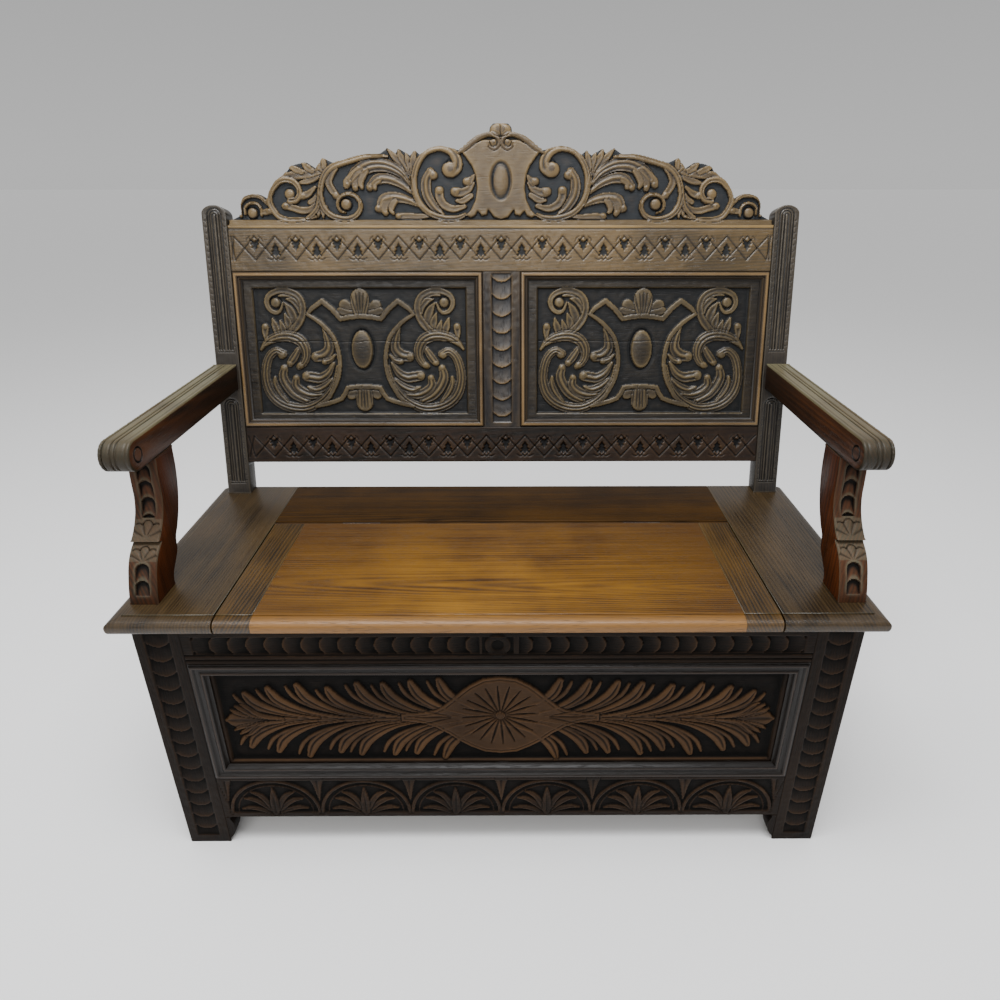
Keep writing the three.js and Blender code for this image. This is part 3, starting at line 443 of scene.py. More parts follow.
def carve(node, relief, board, material, blank=None):
    """A CAD board, or its blank, with the relief cut into its front face. The carved face is smooth, and
    the sawn faces are flat."""
    mesh, front = gridded(node, board, relief, blank)
    co = read(mesh.vertices, "co", float, 3).reshape(-1, 3)
    i, k = [np.rint((co[:, axis] / MM - at[0]) / (at[1] - at[0])).astype(int)
            for axis, at in ((0, relief.x), (2, relief.z))]
    on = (np.abs(co[:, 1] - front) < FLUSH) & (i >= 0) & (k >= 0) & (i < len(relief.x)) & (k < len(relief.z))
    i, k = np.clip(i, 0, len(relief.x) - 1), np.clip(k, 0, len(relief.z) - 1)
    co[:, 1] = np.where(on, front - relief.h[i, k] * MM, co[:, 1])
    mesh.vertices.foreach_set("co", co.ravel())
    for name, values in zip(("wear_and_highlight", "sunk"), relief.marks()):
        note(mesh, name, np.where(on, values[i, k], 0))
    corners = on[read(mesh.loops, "vertex_index")].astype(int)
    carved = np.minimum.reduceat(corners, read(mesh.polygons, "loop_start"))
    mesh.polygons.foreach_set("use_smooth", carved.astype(bool))
    mesh.update()
    return put(mesh, f"{node}_carved", "settle", material, [node], board=board)


def scales(relief, along, across, half, start, stop, radius=21, pitch=SCALE_PITCH):
    """A sunk channel of overlapping gouged scales. Along grows the way that the scales point."""
    curve = along - (np.sqrt(np.maximum(radius ** 2 - across ** 2, 0)) - radius)
    depth = 0.5 + SCALE_DEPTH * (1 - np.mod(curve, pitch) / pitch) ** 0.8
    wall = clamp((half - np.abs(across)) / 1.2) * (along > start) * (along < stop)
    relief.h = np.where(wall > 0, np.minimum(relief.h, -depth * wall), relief.h)


front_oak = dict(dark="#090604", light="#1b120b", worn_and_highlight="#4b3520", recess="#0a0908", rough=0.5, shine=0.09)
STILE_OAK = waxed_oak("black_stained_oak_upright", "z", (-0.2, 0.0), **front_oak)
for side, sign in SIDES:
    low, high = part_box(f"front_stile_{side}")
    stile = Relief((low.x / MM, low.z / MM), (high.x / MM, high.z / MM), STILE_STEP)
    scales(stile, STILE_CHANNEL_TOP - stile.Z, stile.X - sign * STILE_MIDDLE, STILE_CHANNEL_HALF,
           *STILE_CHANNEL_RUN)
    stile.tooled(3 + sign)
    stile.ease(1.1, "lr")
    stile.handled = 0.6
    carve(f"front_stile_{side}", stile, LEVEL, STILE_OAK)

# Top and bottom rails of the front
# Oak rails tenoned into the stiles. The top one has a bead along its lower edge and scales that run out
# from a ring in the middle; the bottom one has six arches with a dart and curved petals in each.
RAIL_HALF = 445.8
BEAD = (371.0, 380.0)
BEAD_ROUND = 1.8
TOP_MIDDLE, TOP_HALF, TOP_DEPTH = 396.5, 14.5, 2.6
RING_X, RING_Z, RING_RADIUS, RING_HALF, RING_CLEAR = -2.0, 396.0, 13.5, 5.5, 22
ARCH_PITCH = 145.0
ARCH_BASE = 66.0
ARCH_GROUND = 3.6
ARCH_BANDS = ((70, 67, 2.8, 3.4), (60, 57, 1.0, 2.0))
PETALS = [
    [(6, 66, 3), (22, 72, 4.5), (38, 76, 4), (52, 74, 1.5)],
    [(5, 67, 3), (18, 82, 4.5), (32, 93, 4.5), (47, 96, 1.5)],
    [(4, 68, 3), (11, 88, 4.5), (21, 103, 4.5), (34, 110, 1.5)],
]
DART = [(66, 6), (85, 7.5), (103, 5), (120, 0.8)]
HUNG_DART = [(137, 11), (124, 7), (108, 4), (92, 1)]
FRONT_OAK = waxed_oak("black_stained_oak", "x", (-0.2, 0.2), **front_oak)
low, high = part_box("front_top_rail")
top_rail = Relief((-RAIL_HALF, low.z / MM), (RAIL_HALF, high.z / MM), 1.3)
for flip in (-1, 1):
    scales(top_rail, flip * top_rail.X - 48, top_rail.Z - TOP_MIDDLE, TOP_HALF, -20, 384, radius=17,
           pitch=25.8)
across = np.hypot(top_rail.X - RING_X, top_rail.Z - RING_Z)
sunk = -TOP_DEPTH * clamp((TOP_HALF - np.abs(top_rail.Z - TOP_MIDDLE)) / 1.2)
raised = TOP_DEPTH * arc(np.abs(across - RING_RADIUS) / RING_HALF)
near = np.abs(top_rail.X - RING_X) < RING_CLEAR
top_rail.h = np.where(near, np.minimum(top_rail.h, sunk) + raised, top_rail.h)
for edge in BEAD:
    top_rail.cut([(-RAIL_HALF, edge, 1.6), (RAIL_HALF, edge, 1.6)], 2.4, steps=1)
bead = np.abs((top_rail.Z - sum(BEAD) / 2) / (BEAD[1] - BEAD[0]) * 2)
top_rail.h -= BEAD_ROUND * (1 - arc(bead)) * (bead < 1)
top_rail.tooled(5)
top_rail.ease(1.0, "b")
top_rail.handled = 0.7
carve("front_top_rail", top_rail, LEVEL, FRONT_OAK)

low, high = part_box("front_bottom_rail")
bottom_rail = Relief((-RAIL_HALF, low.z / MM), (RAIL_HALF, high.z / MM), 1.4)
bottom_rail.sink((-436, ARCH_BASE), (436, 136), ARCH_GROUND)
for index in range(-3, 3):
    x = (index + 0.5) * ARCH_PITCH
    for wide, tall, half, rise in ARCH_BANDS:
        turns = [math.radians(a) for a in range(0, 181, 10)]
        arch = [(x - wide * math.cos(a), ARCH_BASE + tall * math.sin(a), half) for a in turns]
        bottom_rail.ridge(arch, rise, steps=2)
    bottom_rail.pairs(x, PETALS, 3.4, groove=1.0)
    bottom_rail.ridge([(x, z, w) for z, w in DART], 3.6, groove=1.2, lean=0)
for index in range(-3, 4):
    bottom_rail.ridge([(index * ARCH_PITCH, z, w) for z, w in HUNG_DART], 3.4, groove=1.0, lean=0)
bottom_rail.tooled(6)
bottom_rail.ease(1.1, "b")
bottom_rail.handled = 0.5
carve("front_bottom_rail", bottom_rail, LEVEL, FRONT_OAK)

# Front panel
# One wide oak panel held in grooves in the stiles and rails. Its ground is cut back round a roundel with
# rays, and feathery leaves curl off a stem to either side.
PANEL_GROUND = 5.2
PANEL_RISE = 4.4
PANEL_BLANK = ((-453.8, 9, 134.3), (453.8, 23, 371.4))
ROUNDEL_HALF = [(0, 332), (25, 328), (45, 316), (55, 307), (70, 292), (85, 277), (100, 268), (115, 265),
                (130, 263), (150, 262), (150, 247), (130, 246), (115, 242), (100, 236), (80, 222), (60, 205),
                (45, 195), (25, 185), (0, 182)]
ROUNDEL = ROUNDEL_HALF + [(-x, z) for x, z in ROUNDEL_HALF[-2:0:-1]]
UPPER_TIPS = [(90, 323), (130, 322), (173, 318), (210, 318), (254, 312), (297, 316), (342, 310), (379, 300)]
LOWER_TIPS = [(85, 175), (130, 183), (165, 184), (215, 183), (250, 188), (297, 180), (345, 188), (382, 198)]
CURL = [(0, 0, 5), (-4, -9, 7.6), (-11, -20, 8.6), (-26, -32, 7.6), (-48, -43, 5.4), (-72, -50, 3.4),
        (-106, -55, 2)]
STEM_HEIGHT = 250
STEM = [(140, 254, 8), (200, 253, 7), (260, 252, 6), (320, 251, 5), (352, 250, 9), (385, 250, 15),
        (405, 250, 12), (412, 250, 4)]
END_LOBES = ((404, 20), (397, 27), (388, 31))
RAYS, RAY_STARTS = 20, 4
front_panel = Relief((-424, 164), (424, 342), 1.45)
front_panel.sink((-418, 169), (418, 337), PANEL_GROUND, 2.5)
wave = np.random.default_rng(11)
for flip in (-1, 1):
    front_panel.ridge([(flip * x, z, w) for x, z, w in STEM], 4.2, groove=1.0, lean=0)
    for tips, up in ((UPPER_TIPS, 1), (LOWER_TIPS, -1)):
        for x, z in tips:
            x, z = x + wave.normal() * 1.5, z + wave.normal() * 1.5
            reach = abs(z - 252) / 58
            leaf = [(flip * (x + a), z + up * b * reach, w) for a, b, w in CURL]
            front_panel.ridge([p for p in leaf if abs(p[0]) > 20], 4.6, groove=1.6, lean=flip * up * 0.2)
            vein = [(flip * (x + a + 17), z - up * 3 + up * b * reach * 0.92, w * 0.42)
                    for a, b, w in CURL[:6]]
            front_panel.ridge(vein, 3.2, shade=0.6)
    for a, b in END_LOBES:
        for up in (1, -1):
            front_panel.ridge([(flip * (a - back), STEM_HEIGHT + up * rise, w) for back, rise, w in
                               ((0, b, 1.5), (9, b - 6, 4), (28, 9, 4), (60, 2, 3))], PANEL_RISE, groove=1.2)
front_panel.plate(ROUNDEL, PANEL_RISE, 3, line=5.5, dish=0.8)
for index in range(RAYS):
    a = math.radians(index * 360 / RAYS + RAY_STARTS)
    spoke = [(r * math.cos(a), 258 + r * math.sin(a) * 0.97, w) for r, w in ((10, 0.9), (36, 2.6), (58, 0.9))]
    front_panel.cut(spoke, 2.8, steps=1)
for flip in (-1, 1):
    for turn in (-14, 0, 14):
        a = math.radians(turn)
        front_panel.cut([(flip * 66 + flip * r * math.cos(a), 255 + r * math.sin(a), w)
                         for r, w in ((8, 0.8), (30, 2.4), (62, 0.8))], 1.6, steps=1)
front_panel.dome(0, 258.5, 7, 7, 2.2, base=-1.6)
front_panel.tooled(7, 0.14)
front_panel.bare = 0.15
front_panel.sheen_and_polish = 0.5 * within(ROUNDEL, front_panel.X, front_panel.Z)
carve("front_panel", front_panel, LEVEL, FRONT_OAK, PANEL_BLANK)

# Mouldings round the panels
# Mitred oak strips, planed to one long profile and pinned round each panel. The profile's places are
# shares of its width inwards from the frame and of its height out from the panel.
MOULD_SHARES = [(0, 0), (0, 0.7), (0.06, 0.72), (0.1, 0.92), (0.145, 0.98), (0.19, 1), (0.235, 0.98),
                (0.28, 0.92), (0.33, 0.72), (0.39, 0.62), (0.45, 0.58), (0.52, 0.57), (0.58, 0.6),
                (0.61, 0.68), (0.64, 0.76), (0.675, 0.81), (0.71, 0.82), (0.75, 0.8), (0.79, 0.74),
                (0.82, 0.62), (0.85, 0.5), (0.93, 0.24), (1, 0.16), (1, 0), (0, 0)]
BACK_SHARES = [(0, 0), (0, 0.62), (0.08, 0.86), (0.16, 0.95), (0.24, 1), (0.33, 1), (0.42, 0.97),
               (0.49, 0.89), (0.55, 0.78), (0.62, 0.6), (0.66, 0.6), (0.7, 0.62), (0.78, 0.46),
               (0.9, 0.24), (1, 0.16), (1, 0), (0, 0)]
RAKE = math.radians(12.4)
RAKED = Matrix.Translation((0, 0.122543, 0.4525)) @ Matrix.Rotation(-RAKE, 4, "X")
MOULD_FACE = 8.7
EDGES = ("top", "bottom", "left", "right")
BACK_FRAMES = (("left", -468.8, -33.3), ("right", 33.3, 468.8))
AROUND = 5


def geometry_tree(name, **inputs):
    """An empty node tree for geometry, with a geometry input and named inputs, and its input sockets."""
    tree = bpy.data.node_groups.new(name, "GeometryNodeTree")
    for key, kind in dict(Geometry="Geometry", **inputs).items():
        tree.interface.new_socket(key, in_out="INPUT", socket_type=f"NodeSocket{kind}")
    tree.interface.new_socket("Geometry", in_out="OUTPUT", socket_type="NodeSocketGeometry")
    return tree, tree.nodes.new("NodeGroupInput").outputs


def dressed(tree, geometry, material):
    """The end of a node tree: real geometry in its material."""
    real = add(tree, "GeometryNodeRealizeInstances", {0: geometry})
    add(tree, "NodeGroupOutput", {0: add(tree, "GeometryNodeSetMaterial", {0: real, "Material": material})})
    return tree


def mitred_frame(count, material):
    """A node tree that runs a profile, given as a line of points, round a frame with mitred corners."""
    tree, given = geometry_tree("mitred_frame", Width="Float", Height="Float")
    rows = add(tree, "GeometryNodeMeshGrid", {"Vertices X": count, "Vertices Y": AROUND})
    index = add(tree, "GeometryNodeInputIndex")
    step, corner = [add(tree, "FunctionNodeIntegerMath", {0: index, 1: AROUND}, operation=operation)
                    for operation in ("DIVIDE_FLOOR", "MODULO")]
    place = add(tree, "GeometryNodeInputPosition")
    point = add(tree, "GeometryNodeSampleIndex", {0: given[0], 1: place, 2: step}, data_type="FLOAT_VECTOR")
    parts = add(tree, "ShaderNodeSeparateXYZ", {0: point}).node.outputs
    quarter = add(tree, "ShaderNodeMath", {0: corner, 1: math.pi / 2, 2: math.pi / 4},
                  operation="MULTIPLY_ADD")
    ends = []
    for operation, size in (("COSINE", "Width"), ("SINE", "Height")):
        turn = add(tree, "ShaderNodeMath", {0: quarter}, operation=operation)
        sign = add(tree, "ShaderNodeMath", {0: turn}, operation="SIGN")
        reach = add(tree, "ShaderNodeMath", {0: given[size], 1: 0.5}, operation="MULTIPLY")
        reach = add(tree, "ShaderNodeMath", {0: reach, 1: parts[0]}, operation="SUBTRACT")
        ends.append(add(tree, "ShaderNodeMath", {0: sign, 1: reach}, operation="MULTIPLY"))
    out = add(tree, "ShaderNodeMath", {0: parts[2], 1: -1.0}, operation="MULTIPLY")
    spot = add(tree, "ShaderNodeCombineXYZ", {0: ends[0], 1: out, 2: ends[1]})
    placed = add(tree, "GeometryNodeSetPosition", {0: rows, 2: spot})
    for name in ("wear_and_highlight", "sunk"):
        mark = add(tree, "GeometryNodeInputNamedAttribute", {"Name": name}, data_type="FLOAT")
        mark = add(tree, "GeometryNodeSampleIndex", {0: given[0], 1: mark, 2: step}, data_type="FLOAT")
        placed = add(tree, "GeometryNodeStoreNamedAttribute", {0: placed, "Name": name, "Value": mark},
                     data_type="FLOAT", domain="POINT")
    return dressed(tree, add(tree, "GeometryNodeMergeByDistance", {0: placed, "Distance": WELD}), material)


def evaluated(thing):
    """The plain mesh that an object's modifier makes of it. The object itself is taken away."""
    graph = bpy.context.evaluated_depsgraph_get()
    graph.update()
    mesh = bpy.data.meshes.new_from_object(thing.evaluated_get(graph))
    thing.modifiers.clear()
    bpy.data.objects.remove(thing)
    return mesh


def grown(tree, start, **sizes):
    """The mesh that a node tree makes from a starting mesh, with merged doubles and outward faces."""
    holder = shown("holder", start)
    modifier = holder.modifiers.new("nodes", "NODES")
    modifier.node_group = tree
    for item in tree.interface.items_tree:
        if item.in_out == "INPUT" and item.name.lower() in sizes:
            modifier[item.identifier] = sizes[item.name.lower()]
    mesh = evaluated(holder)
    bm = bmesh.new()
    bm.from_mesh(mesh)
    bmesh.ops.remove_doubles(bm, verts=bm.verts, dist=WELD)
    bmesh.ops.recalc_face_normals(bm, faces=bm.faces)
    return written(bm, mesh)


def moulding(name, shares, width, tall, low, high, board, material, nodes, painted_shade=2.0):
    """One frame of moulding between two corners of an opening, standing on a panel's face. Its crests get
    wear and a painted highlight, and painted shade lies on its low inner slope beyond a share of its width."""
    start = bpy.data.meshes.new("profile")
    start.from_pydata([(a * width * MM, 0, b * tall * MM) for a, b in shares], [], [])
    up = [b for _, b in shares]
    # The profile's crests get the worn colour: partly wear, partly a painted highlight.
    crests = [0.9 if near <= b + 0.01 >= after else 0.1 for near, b, after in zip(up, up[1:], up[2:])]
    wear_and_highlight = np.array([0.1] + crests + [0.1])
    note(start, "wear_and_highlight", np.maximum(wear_and_highlight, 0.55 * np.maximum(np.roll(wear_and_highlight, 1), np.roll(wear_and_highlight, -1))))
    note(start, "sunk", [0.75 if a > painted_shade and b < 0.7 else 0.0 for a, b in shares])
    mesh = grown(mitred_frame(len(shares), material), start,
                 width=(high[0] - low[0]) * MM, height=(high[1] - low[1]) * MM)
    mesh.polygons.foreach_set("use_smooth", np.ones(len(mesh.polygons), bool))
    mesh.set_sharp_from_angle(angle=math.radians(40))
    middle = (low[0] + high[0]) / 2, MOULD_FACE, (low[1] + high[1]) / 2
    mesh.transform(Matrix.Translation(Vector(middle) * MM))
    put(mesh, name, "settle", material, nodes, board=board)


MOULD_OAK = waxed_oak("black_stained_oak_moulding", "x", (-0.2, 0.2), dark="#070504", light="#0c0907",
                      worn_and_highlight="#2c1e13", recess="#040404", rough=0.33, shine=0.26)
moulding("front_moulding", MOULD_SHARES, 24, 12, (-445.7, 142.3), (445.7, 363.4), LEVEL, MOULD_OAK,
         [f"front_moulding_{edge}" for edge in EDGES])
BACK_MOULD_OAK = waxed_oak("brown_stained_oak_moulding", "x", (0.0, 0.2), dark="#0d0b09", light="#201913",
                           worn_and_highlight="#7f6540", recess="#090a0b", rough=0.33, shine=0.4)
for side, low, high in BACK_FRAMES:
    moulding(f"back_moulding_{side}", BACK_SHARES, 15, 9, (low, 124.3), (high, 394.7), RAKED,
             BACK_MOULD_OAK, [f"back_moulding_{side}_{edge}" for edge in EDGES], painted_shade=0.56)

# Sides and back of the box, and the floor inside
# Plain oak frames with plain panels: two rails and a panel at each side, two stiles, two rails and a wide
# panel behind, tenoned together, with loose boards on cleats for a floor. Their arrises are rubbed.
ARRIS_LEAST = 0.011
ARRIS_TURN = math.radians(35)


def eased(node, material, radius=1.1, body="settle"):
    """A CAD board with its long outer arrises worn round."""
    bm = merged(node, LEVEL)
    sharp = [e for e in bm.edges if len(e.link_faces) == 2 and e.calc_length() > ARRIS_LEAST
             and e.is_convex and e.calc_face_angle() > ARRIS_TURN]
    result = bmesh.ops.bevel(bm, geom=sharp, offset=radius * MM, segments=2, profile=0.5, affect="EDGES",
                             clamp_overlap=False)
    fresh = set(result["faces"])
    for face in fresh:
        face.smooth = True
    rubbed_and_highlit = [0.4 if all(f in fresh for f in v.link_faces) else 0.0 for v in bm.verts]
    bm.verts.index_update()
    mesh = written(bm, bpy.data.meshes.new(node))
    note(mesh, "wear_and_highlight", rubbed_and_highlit)
    put(mesh, f"{node}_board", body, material, [node], LEVEL)


side_oak = dict(dark="#0e0906", light="#291b10", worn_and_highlight="#553c25", recess="#080706", rough=0.45, shine=0.3)
SIDE_RAIL_OAK = waxed_oak("brown_stained_oak_side_rail", "y", (0.0, 0.2), **side_oak)
SIDE_PANEL_OAK = waxed_oak("brown_stained_oak_side_panel", "y", (0.42, 0.25), ring=5.5, **side_oak)
rear_oak = {**side_oak, "dark": "#191109", "light": "#3d2a19", "rough": 0.55}
REAR_OAK = waxed_oak("plain_rear_oak", "x", (0.2, 0.25), ring=5.5, **rear_oak)
REAR_STILE_OAK = waxed_oak("plain_rear_oak_upright", "z", (0.2, 0.0), **rear_oak)
for side, _ in SIDES:
    for node, oak, radius in (("side_top_rail", SIDE_RAIL_OAK, 1.1), ("side_bottom_rail", SIDE_RAIL_OAK, 1.1),
                              ("side_panel", SIDE_PANEL_OAK, 1.1), ("rear_stile", REAR_STILE_OAK, 1.1),
                              ("foot_bracket", STILE_OAK, 0.7)):
        eased(f"{node}_{side}", oak, radius)
for node in ("rear_top_rail", "rear_bottom_rail", "rear_panel", "floor_board_left", "floor_board_middle",
             "floor_board_right", "floor_cleat_front", "floor_cleat_rear"):
    eased(node, REAR_OAK)

# Seat
# Solid boards with a thumb-moulded nosing: an end board at each side, a hinge rail between them at the
# back, and the lift-up lid in front of it, which is a wide board with a clamp tongued on across each end.
# The lid is the most rubbed and the lightest, and hands have worn its front edge to bare pale wood.
NOSE = (-0.2795, -0.262)
LID_OAK = waxed_oak("honey_brown_waxed_oak", "x", (-0.13, 0.392), dark="#3b2309", light="#8a601b",
                    worn_and_highlight="#7b5628", recess="#20120a", rough=0.38, ring=5.0, nosing=NOSE, shine=0.4)
# The grey-green worn colours of the clamps and end boards, on their rounded arrises, are a painted sheen.
CLAMP_OAK = waxed_oak("red_brown_waxed_oak_clamp", "y", (0.0, 0.2), dark="#191106", light="#553c14",
                      worn_and_highlight="#616448", recess="#150e08", rough=0.38)
END_OAK = waxed_oak("brown_waxed_oak_end_board", "y", (0.3, 0.3), dark="#1b140b", light="#483821",
                    worn_and_highlight="#535a45", recess="#150f0a", rough=0.34, shine=0.4)
HINGE_RAIL_OAK = waxed_oak("dark_brown_waxed_oak", "x", (0.08, 0.40), dark="#1a1006", light="#412a0b",
                           worn_and_highlight="#6b4c28", recess="#120b06", rough=0.55, shine=0.1)
eased("lid_board", LID_OAK, 0.8, "lid")
for side, _ in SIDES:
    eased(f"lid_clamp_{side}", CLAMP_OAK, 0.8, "lid")
    eased(f"seat_end_board_{side}", END_OAK, 0.9)
eased("hinge_rail", HINGE_RAIL_OAK, 0.8)

# Hinges
# Two steel butt hinges let into the hinge rail and the lid, each leaf held by three slotted countersunk
# screws. The steel has browned with age, so the hinges hardly show in the seam.
SCREW_PLACES = (-22, 0, 22)
SCREW_UP = 6.5
SCREW_RADIUS = 2.7
SCREW_SLOT = 0.7
LEAF_FACE = 1.5


def browned_steel():
    """Mild steel, rolled and then browned by age: a dull dark metal under thin patches of rust."""
    material, tree = bare_material("browned_steel")
    place = add(tree, "ShaderNodeTexCoord", out="Object")
    patches = add(tree, "ShaderNodeTexNoise", {0: place, "Scale": 260.0, "Detail": 5.0})
    rust = add(tree, "ShaderNodeMapRange", {0: patches, 1: 0.42, 2: 0.6})
    colour = add(tree, "ShaderNodeMix", {0: rust, 6: linear("#403830"), 7: linear("#2e1b10")}, out=2,
                 data_type="RGBA")
    rough = add(tree, "ShaderNodeMapRange", {0: rust, 3: 0.5, 4: 0.8})
    metal = add(tree, "ShaderNodeMapRange", {0: rust, 3: 1.0, 4: 0.35})
    bump = add(tree, "ShaderNodeBump", {"Height": patches, "Distance": 0.0001, "Strength": 0.4})
    shader = add(tree, "ShaderNodeBsdfPrincipled",
                 {"Base Color": colour, "Roughness": rough, "Metallic": metal, "Normal": bump})
    add(tree, "ShaderNodeOutputMaterial", {0: shader})
    return material


def slotted_screws(material):
    """A node tree that sets a slotted screw head on each point, each one turned to its own angle."""
    tree, given = geometry_tree("slotted_screws", Radius="Float", Slot="Float", Tilt="Float", Seed="Int")
    wide, deep = [add(tree, "ShaderNodeMath", {0: given["Radius"], 1: share}, operation="MULTIPLY")
                  for share in (3.0, 0.3)]
    head = add(tree, "GeometryNodeMeshCylinder", {"Vertices": 20, "Radius": given["Radius"], "Depth": deep})
    size = add(tree, "ShaderNodeCombineXYZ", {0: wide, 1: given["Slot"], 2: deep})
    blade = add(tree, "GeometryNodeMeshCube", {"Size": size})
    lift = add(tree, "ShaderNodeCombineXYZ", {2: deep})
    blade = add(tree, "GeometryNodeTransform", {"Geometry": blade, "Translation": lift})
    slotted = add(tree, "GeometryNodeMeshBoolean", {0: head, 1: blade}, operation="DIFFERENCE")
    spin = add(tree, "FunctionNodeRandomValue", {2: 0.0, 3: 3.14, "Seed": given["Seed"]}, out=1,
               data_type="FLOAT")
    turns = [add(tree, "ShaderNodeCombineXYZ", {axis: turn})
             for axis, turn in ((2, spin), (0, given["Tilt"]))]
    turned, tipped = [add(tree, "FunctionNodeEulerToRotation", {0: turn}) for turn in turns]
    both = add(tree, "FunctionNodeRotateRotation", {0: tipped, 1: turned}, rotation_space="LOCAL")
    stood = add(tree, "GeometryNodeInstanceOnPoints",
                {"Points": given[0], "Instance": slotted, "Rotation": both})
    return dressed(tree, stood, material)


STEEL = browned_steel()
screws = slotted_screws(STEEL)
for side, _ in SIDES:
    for leaf, body, facing in (("fixed", "settle", -1), ("lid", "lid", 1)):
        low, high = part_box(f"hinge_{leaf}_leaf_{side}")
        face = high.y - LEAF_FACE * MM if facing < 0 else low.y + LEAF_FACE * MM
        places = [((low.x + high.x) / 2 + x * MM, face, low.z + SCREW_UP * MM) for x in SCREW_PLACES]
        start = bpy.data.meshes.new("places")
        start.from_pydata(places, [], [])
        heads = grown(screws, start, radius=SCREW_RADIUS * MM, slot=SCREW_SLOT * MM,
                      tilt=-facing * math.pi / 2, seed=len(leaf))
        put(heads, f"hinge_screws_{leaf}_{side}", body, STEEL, [])
for name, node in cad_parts.items():
    if name.startswith("hinge_") and name != "hinge_rail":
        node.data.materials.clear()
        node.data.materials.append(STEEL)

# Rails and muntin of the back
# The frieze rail and the lower rail are tenoned between the posts, and the muntin between the rails. The
# rails have a zigzag of crossed lines with small leaves set into the diamonds, and the muntin has scales.
DIAMOND = 35.5
ZIG = 19.5
ZIG_REACH = 466
BACK_HALF = 468.8
UPRIGHT_LEAF = [(0, 10), (3.2, 4.5), (6.5, 1.5), (5, -1.5), (9.5, -6), (7, -7.5), (10, -14), (3.5, -12),
                (0, -16)]
HUNG_LEAF = [(0, -6), (3, -1), (6, 0.5), (5, 4), (9, 7), (7, 10), (11, 18), (4.5, 14.5), (0, 12)]
CROSSING = [(-4, -1.4), (0, 1.2), (4, -1.4), (4, 1.4), (0, -1.2), (-4, 1.4)]
LOW_CURL = [(4, -17.5, 1.2), (9, -19, 1.6), (15, -15.5, 1.0)]
HIGH_CURL = [(8, 19.5, 1.0), (12, 16, 1.4), (14, 11, 0.8)]
# The frieze rail and the lower rail are one oak: the frieze's paler golden colours are a painted sheen and
# the lower rail's darker ones painted shade. The bluish recess colours of the frieze and the muntin, and the
# muntin's bluish dark colour, are a painted reflection.
FRIEZE_OAK = waxed_oak("brown_stained_oak_frieze_painted_sheen", "x", (0.35, 0.4), dark="#17140e", light="#4e3d24",
                       worn_and_highlight="#967a49", recess="#0a0d0e", rough=0.34, lean=RAKE)
LOWER_RAIL_OAK = waxed_oak("brown_stained_oak_lower_rail_painted_shade", "x", (0.35, 0.4), dark="#0d0906", light="#281a10",
                           worn_and_highlight="#5e452a", recess="#0b0b0c", rough=0.4, lean=RAKE, shine=0.3)
MUNTIN_OAK = waxed_oak("brown_stained_oak_upright", "z", (0.35, 0.0), dark="#121114", light="#33291d",
                       worn_and_highlight="#84693c", recess="#0b0d12", rough=0.31, lean=RAKE)


def zigzag(relief, middle, shift):
    """Crossed zigzag lines, a square pit at each crossing, and leaves that stand up and hang by turns."""
    turns = range(math.floor((-ZIG_REACH - shift) / DIAMOND), math.ceil((ZIG_REACH - shift) / DIAMOND) + 1)
    for swap in (ZIG, -ZIG):
        line = [(shift + k * DIAMOND, middle + (swap if k % 2 else -swap)) for k in turns]
        relief.cut([(max(-ZIG_REACH, min(ZIG_REACH, x)), z, 1.7) for x, z in line], 2.2, steps=1)
    for k in turns:
        x = shift + k * DIAMOND
        if abs(x) > ZIG_REACH - 14:
            continue
        relief.pit([(x + DIAMOND / 2 + a, middle + b) for a, b in CROSSING], 2.6, 1.2)
        half, curl, deep = (UPRIGHT_LEAF, LOW_CURL, 1.6) if k % 2 else (HUNG_LEAF, HIGH_CURL, 1.4)
        leaf = half + [(-a, b) for a, b in half[-2:0:-1]]
        relief.pit([(x + a, middle + b) for a, b in leaf], 3.6, 2.2)
        for flip in (-1, 1):
            relief.cut([(x + flip * a, middle + b, w) for a, b, w in curl], deep, steps=3)


for node, low, high, middle, shift, oak, arris in (
        ("frieze_rail", 395.3, 471.0, 433.5, 0.0, FRIEZE_OAK, 0.3),
        ("lower_back_rail", 59.0, 123.7, 88.0, 6.0, LOWER_RAIL_OAK, 0.9)):
    rail = Relief((-BACK_HALF, low), (BACK_HALF, high), 1.3)
    zigzag(rail, middle, shift)
    rail.bare = 0.55
    if oak is FRIEZE_OAK:
        rail.cut([(-BACK_HALF, 465, 1.3), (BACK_HALF, 465, 1.3)], 1.7, steps=1)
        # The top strip is lighter, rubbed and with a painted sheen, and the rest of the frieze a little.
        rail.sheen_and_polish = np.where(rail.Z > 466, 0.72, 0.2)
    rail.tooled(21)
    rail.ease(arris, "t")
    rail.ease(0.9, "b")
    carve(node, rail, RAKED, oak)
muntin = Relief((-33, 124), (33, 395), 1.25)
scales(muntin, 407 - muntin.Z, muntin.X, 17.5, 15, 275, radius=20, pitch=29.5)
muntin.tooled(22)
muntin.ease(0.8, "lr")
carve("back_muntin", muntin, RAKED, MUNTIN_OAK)

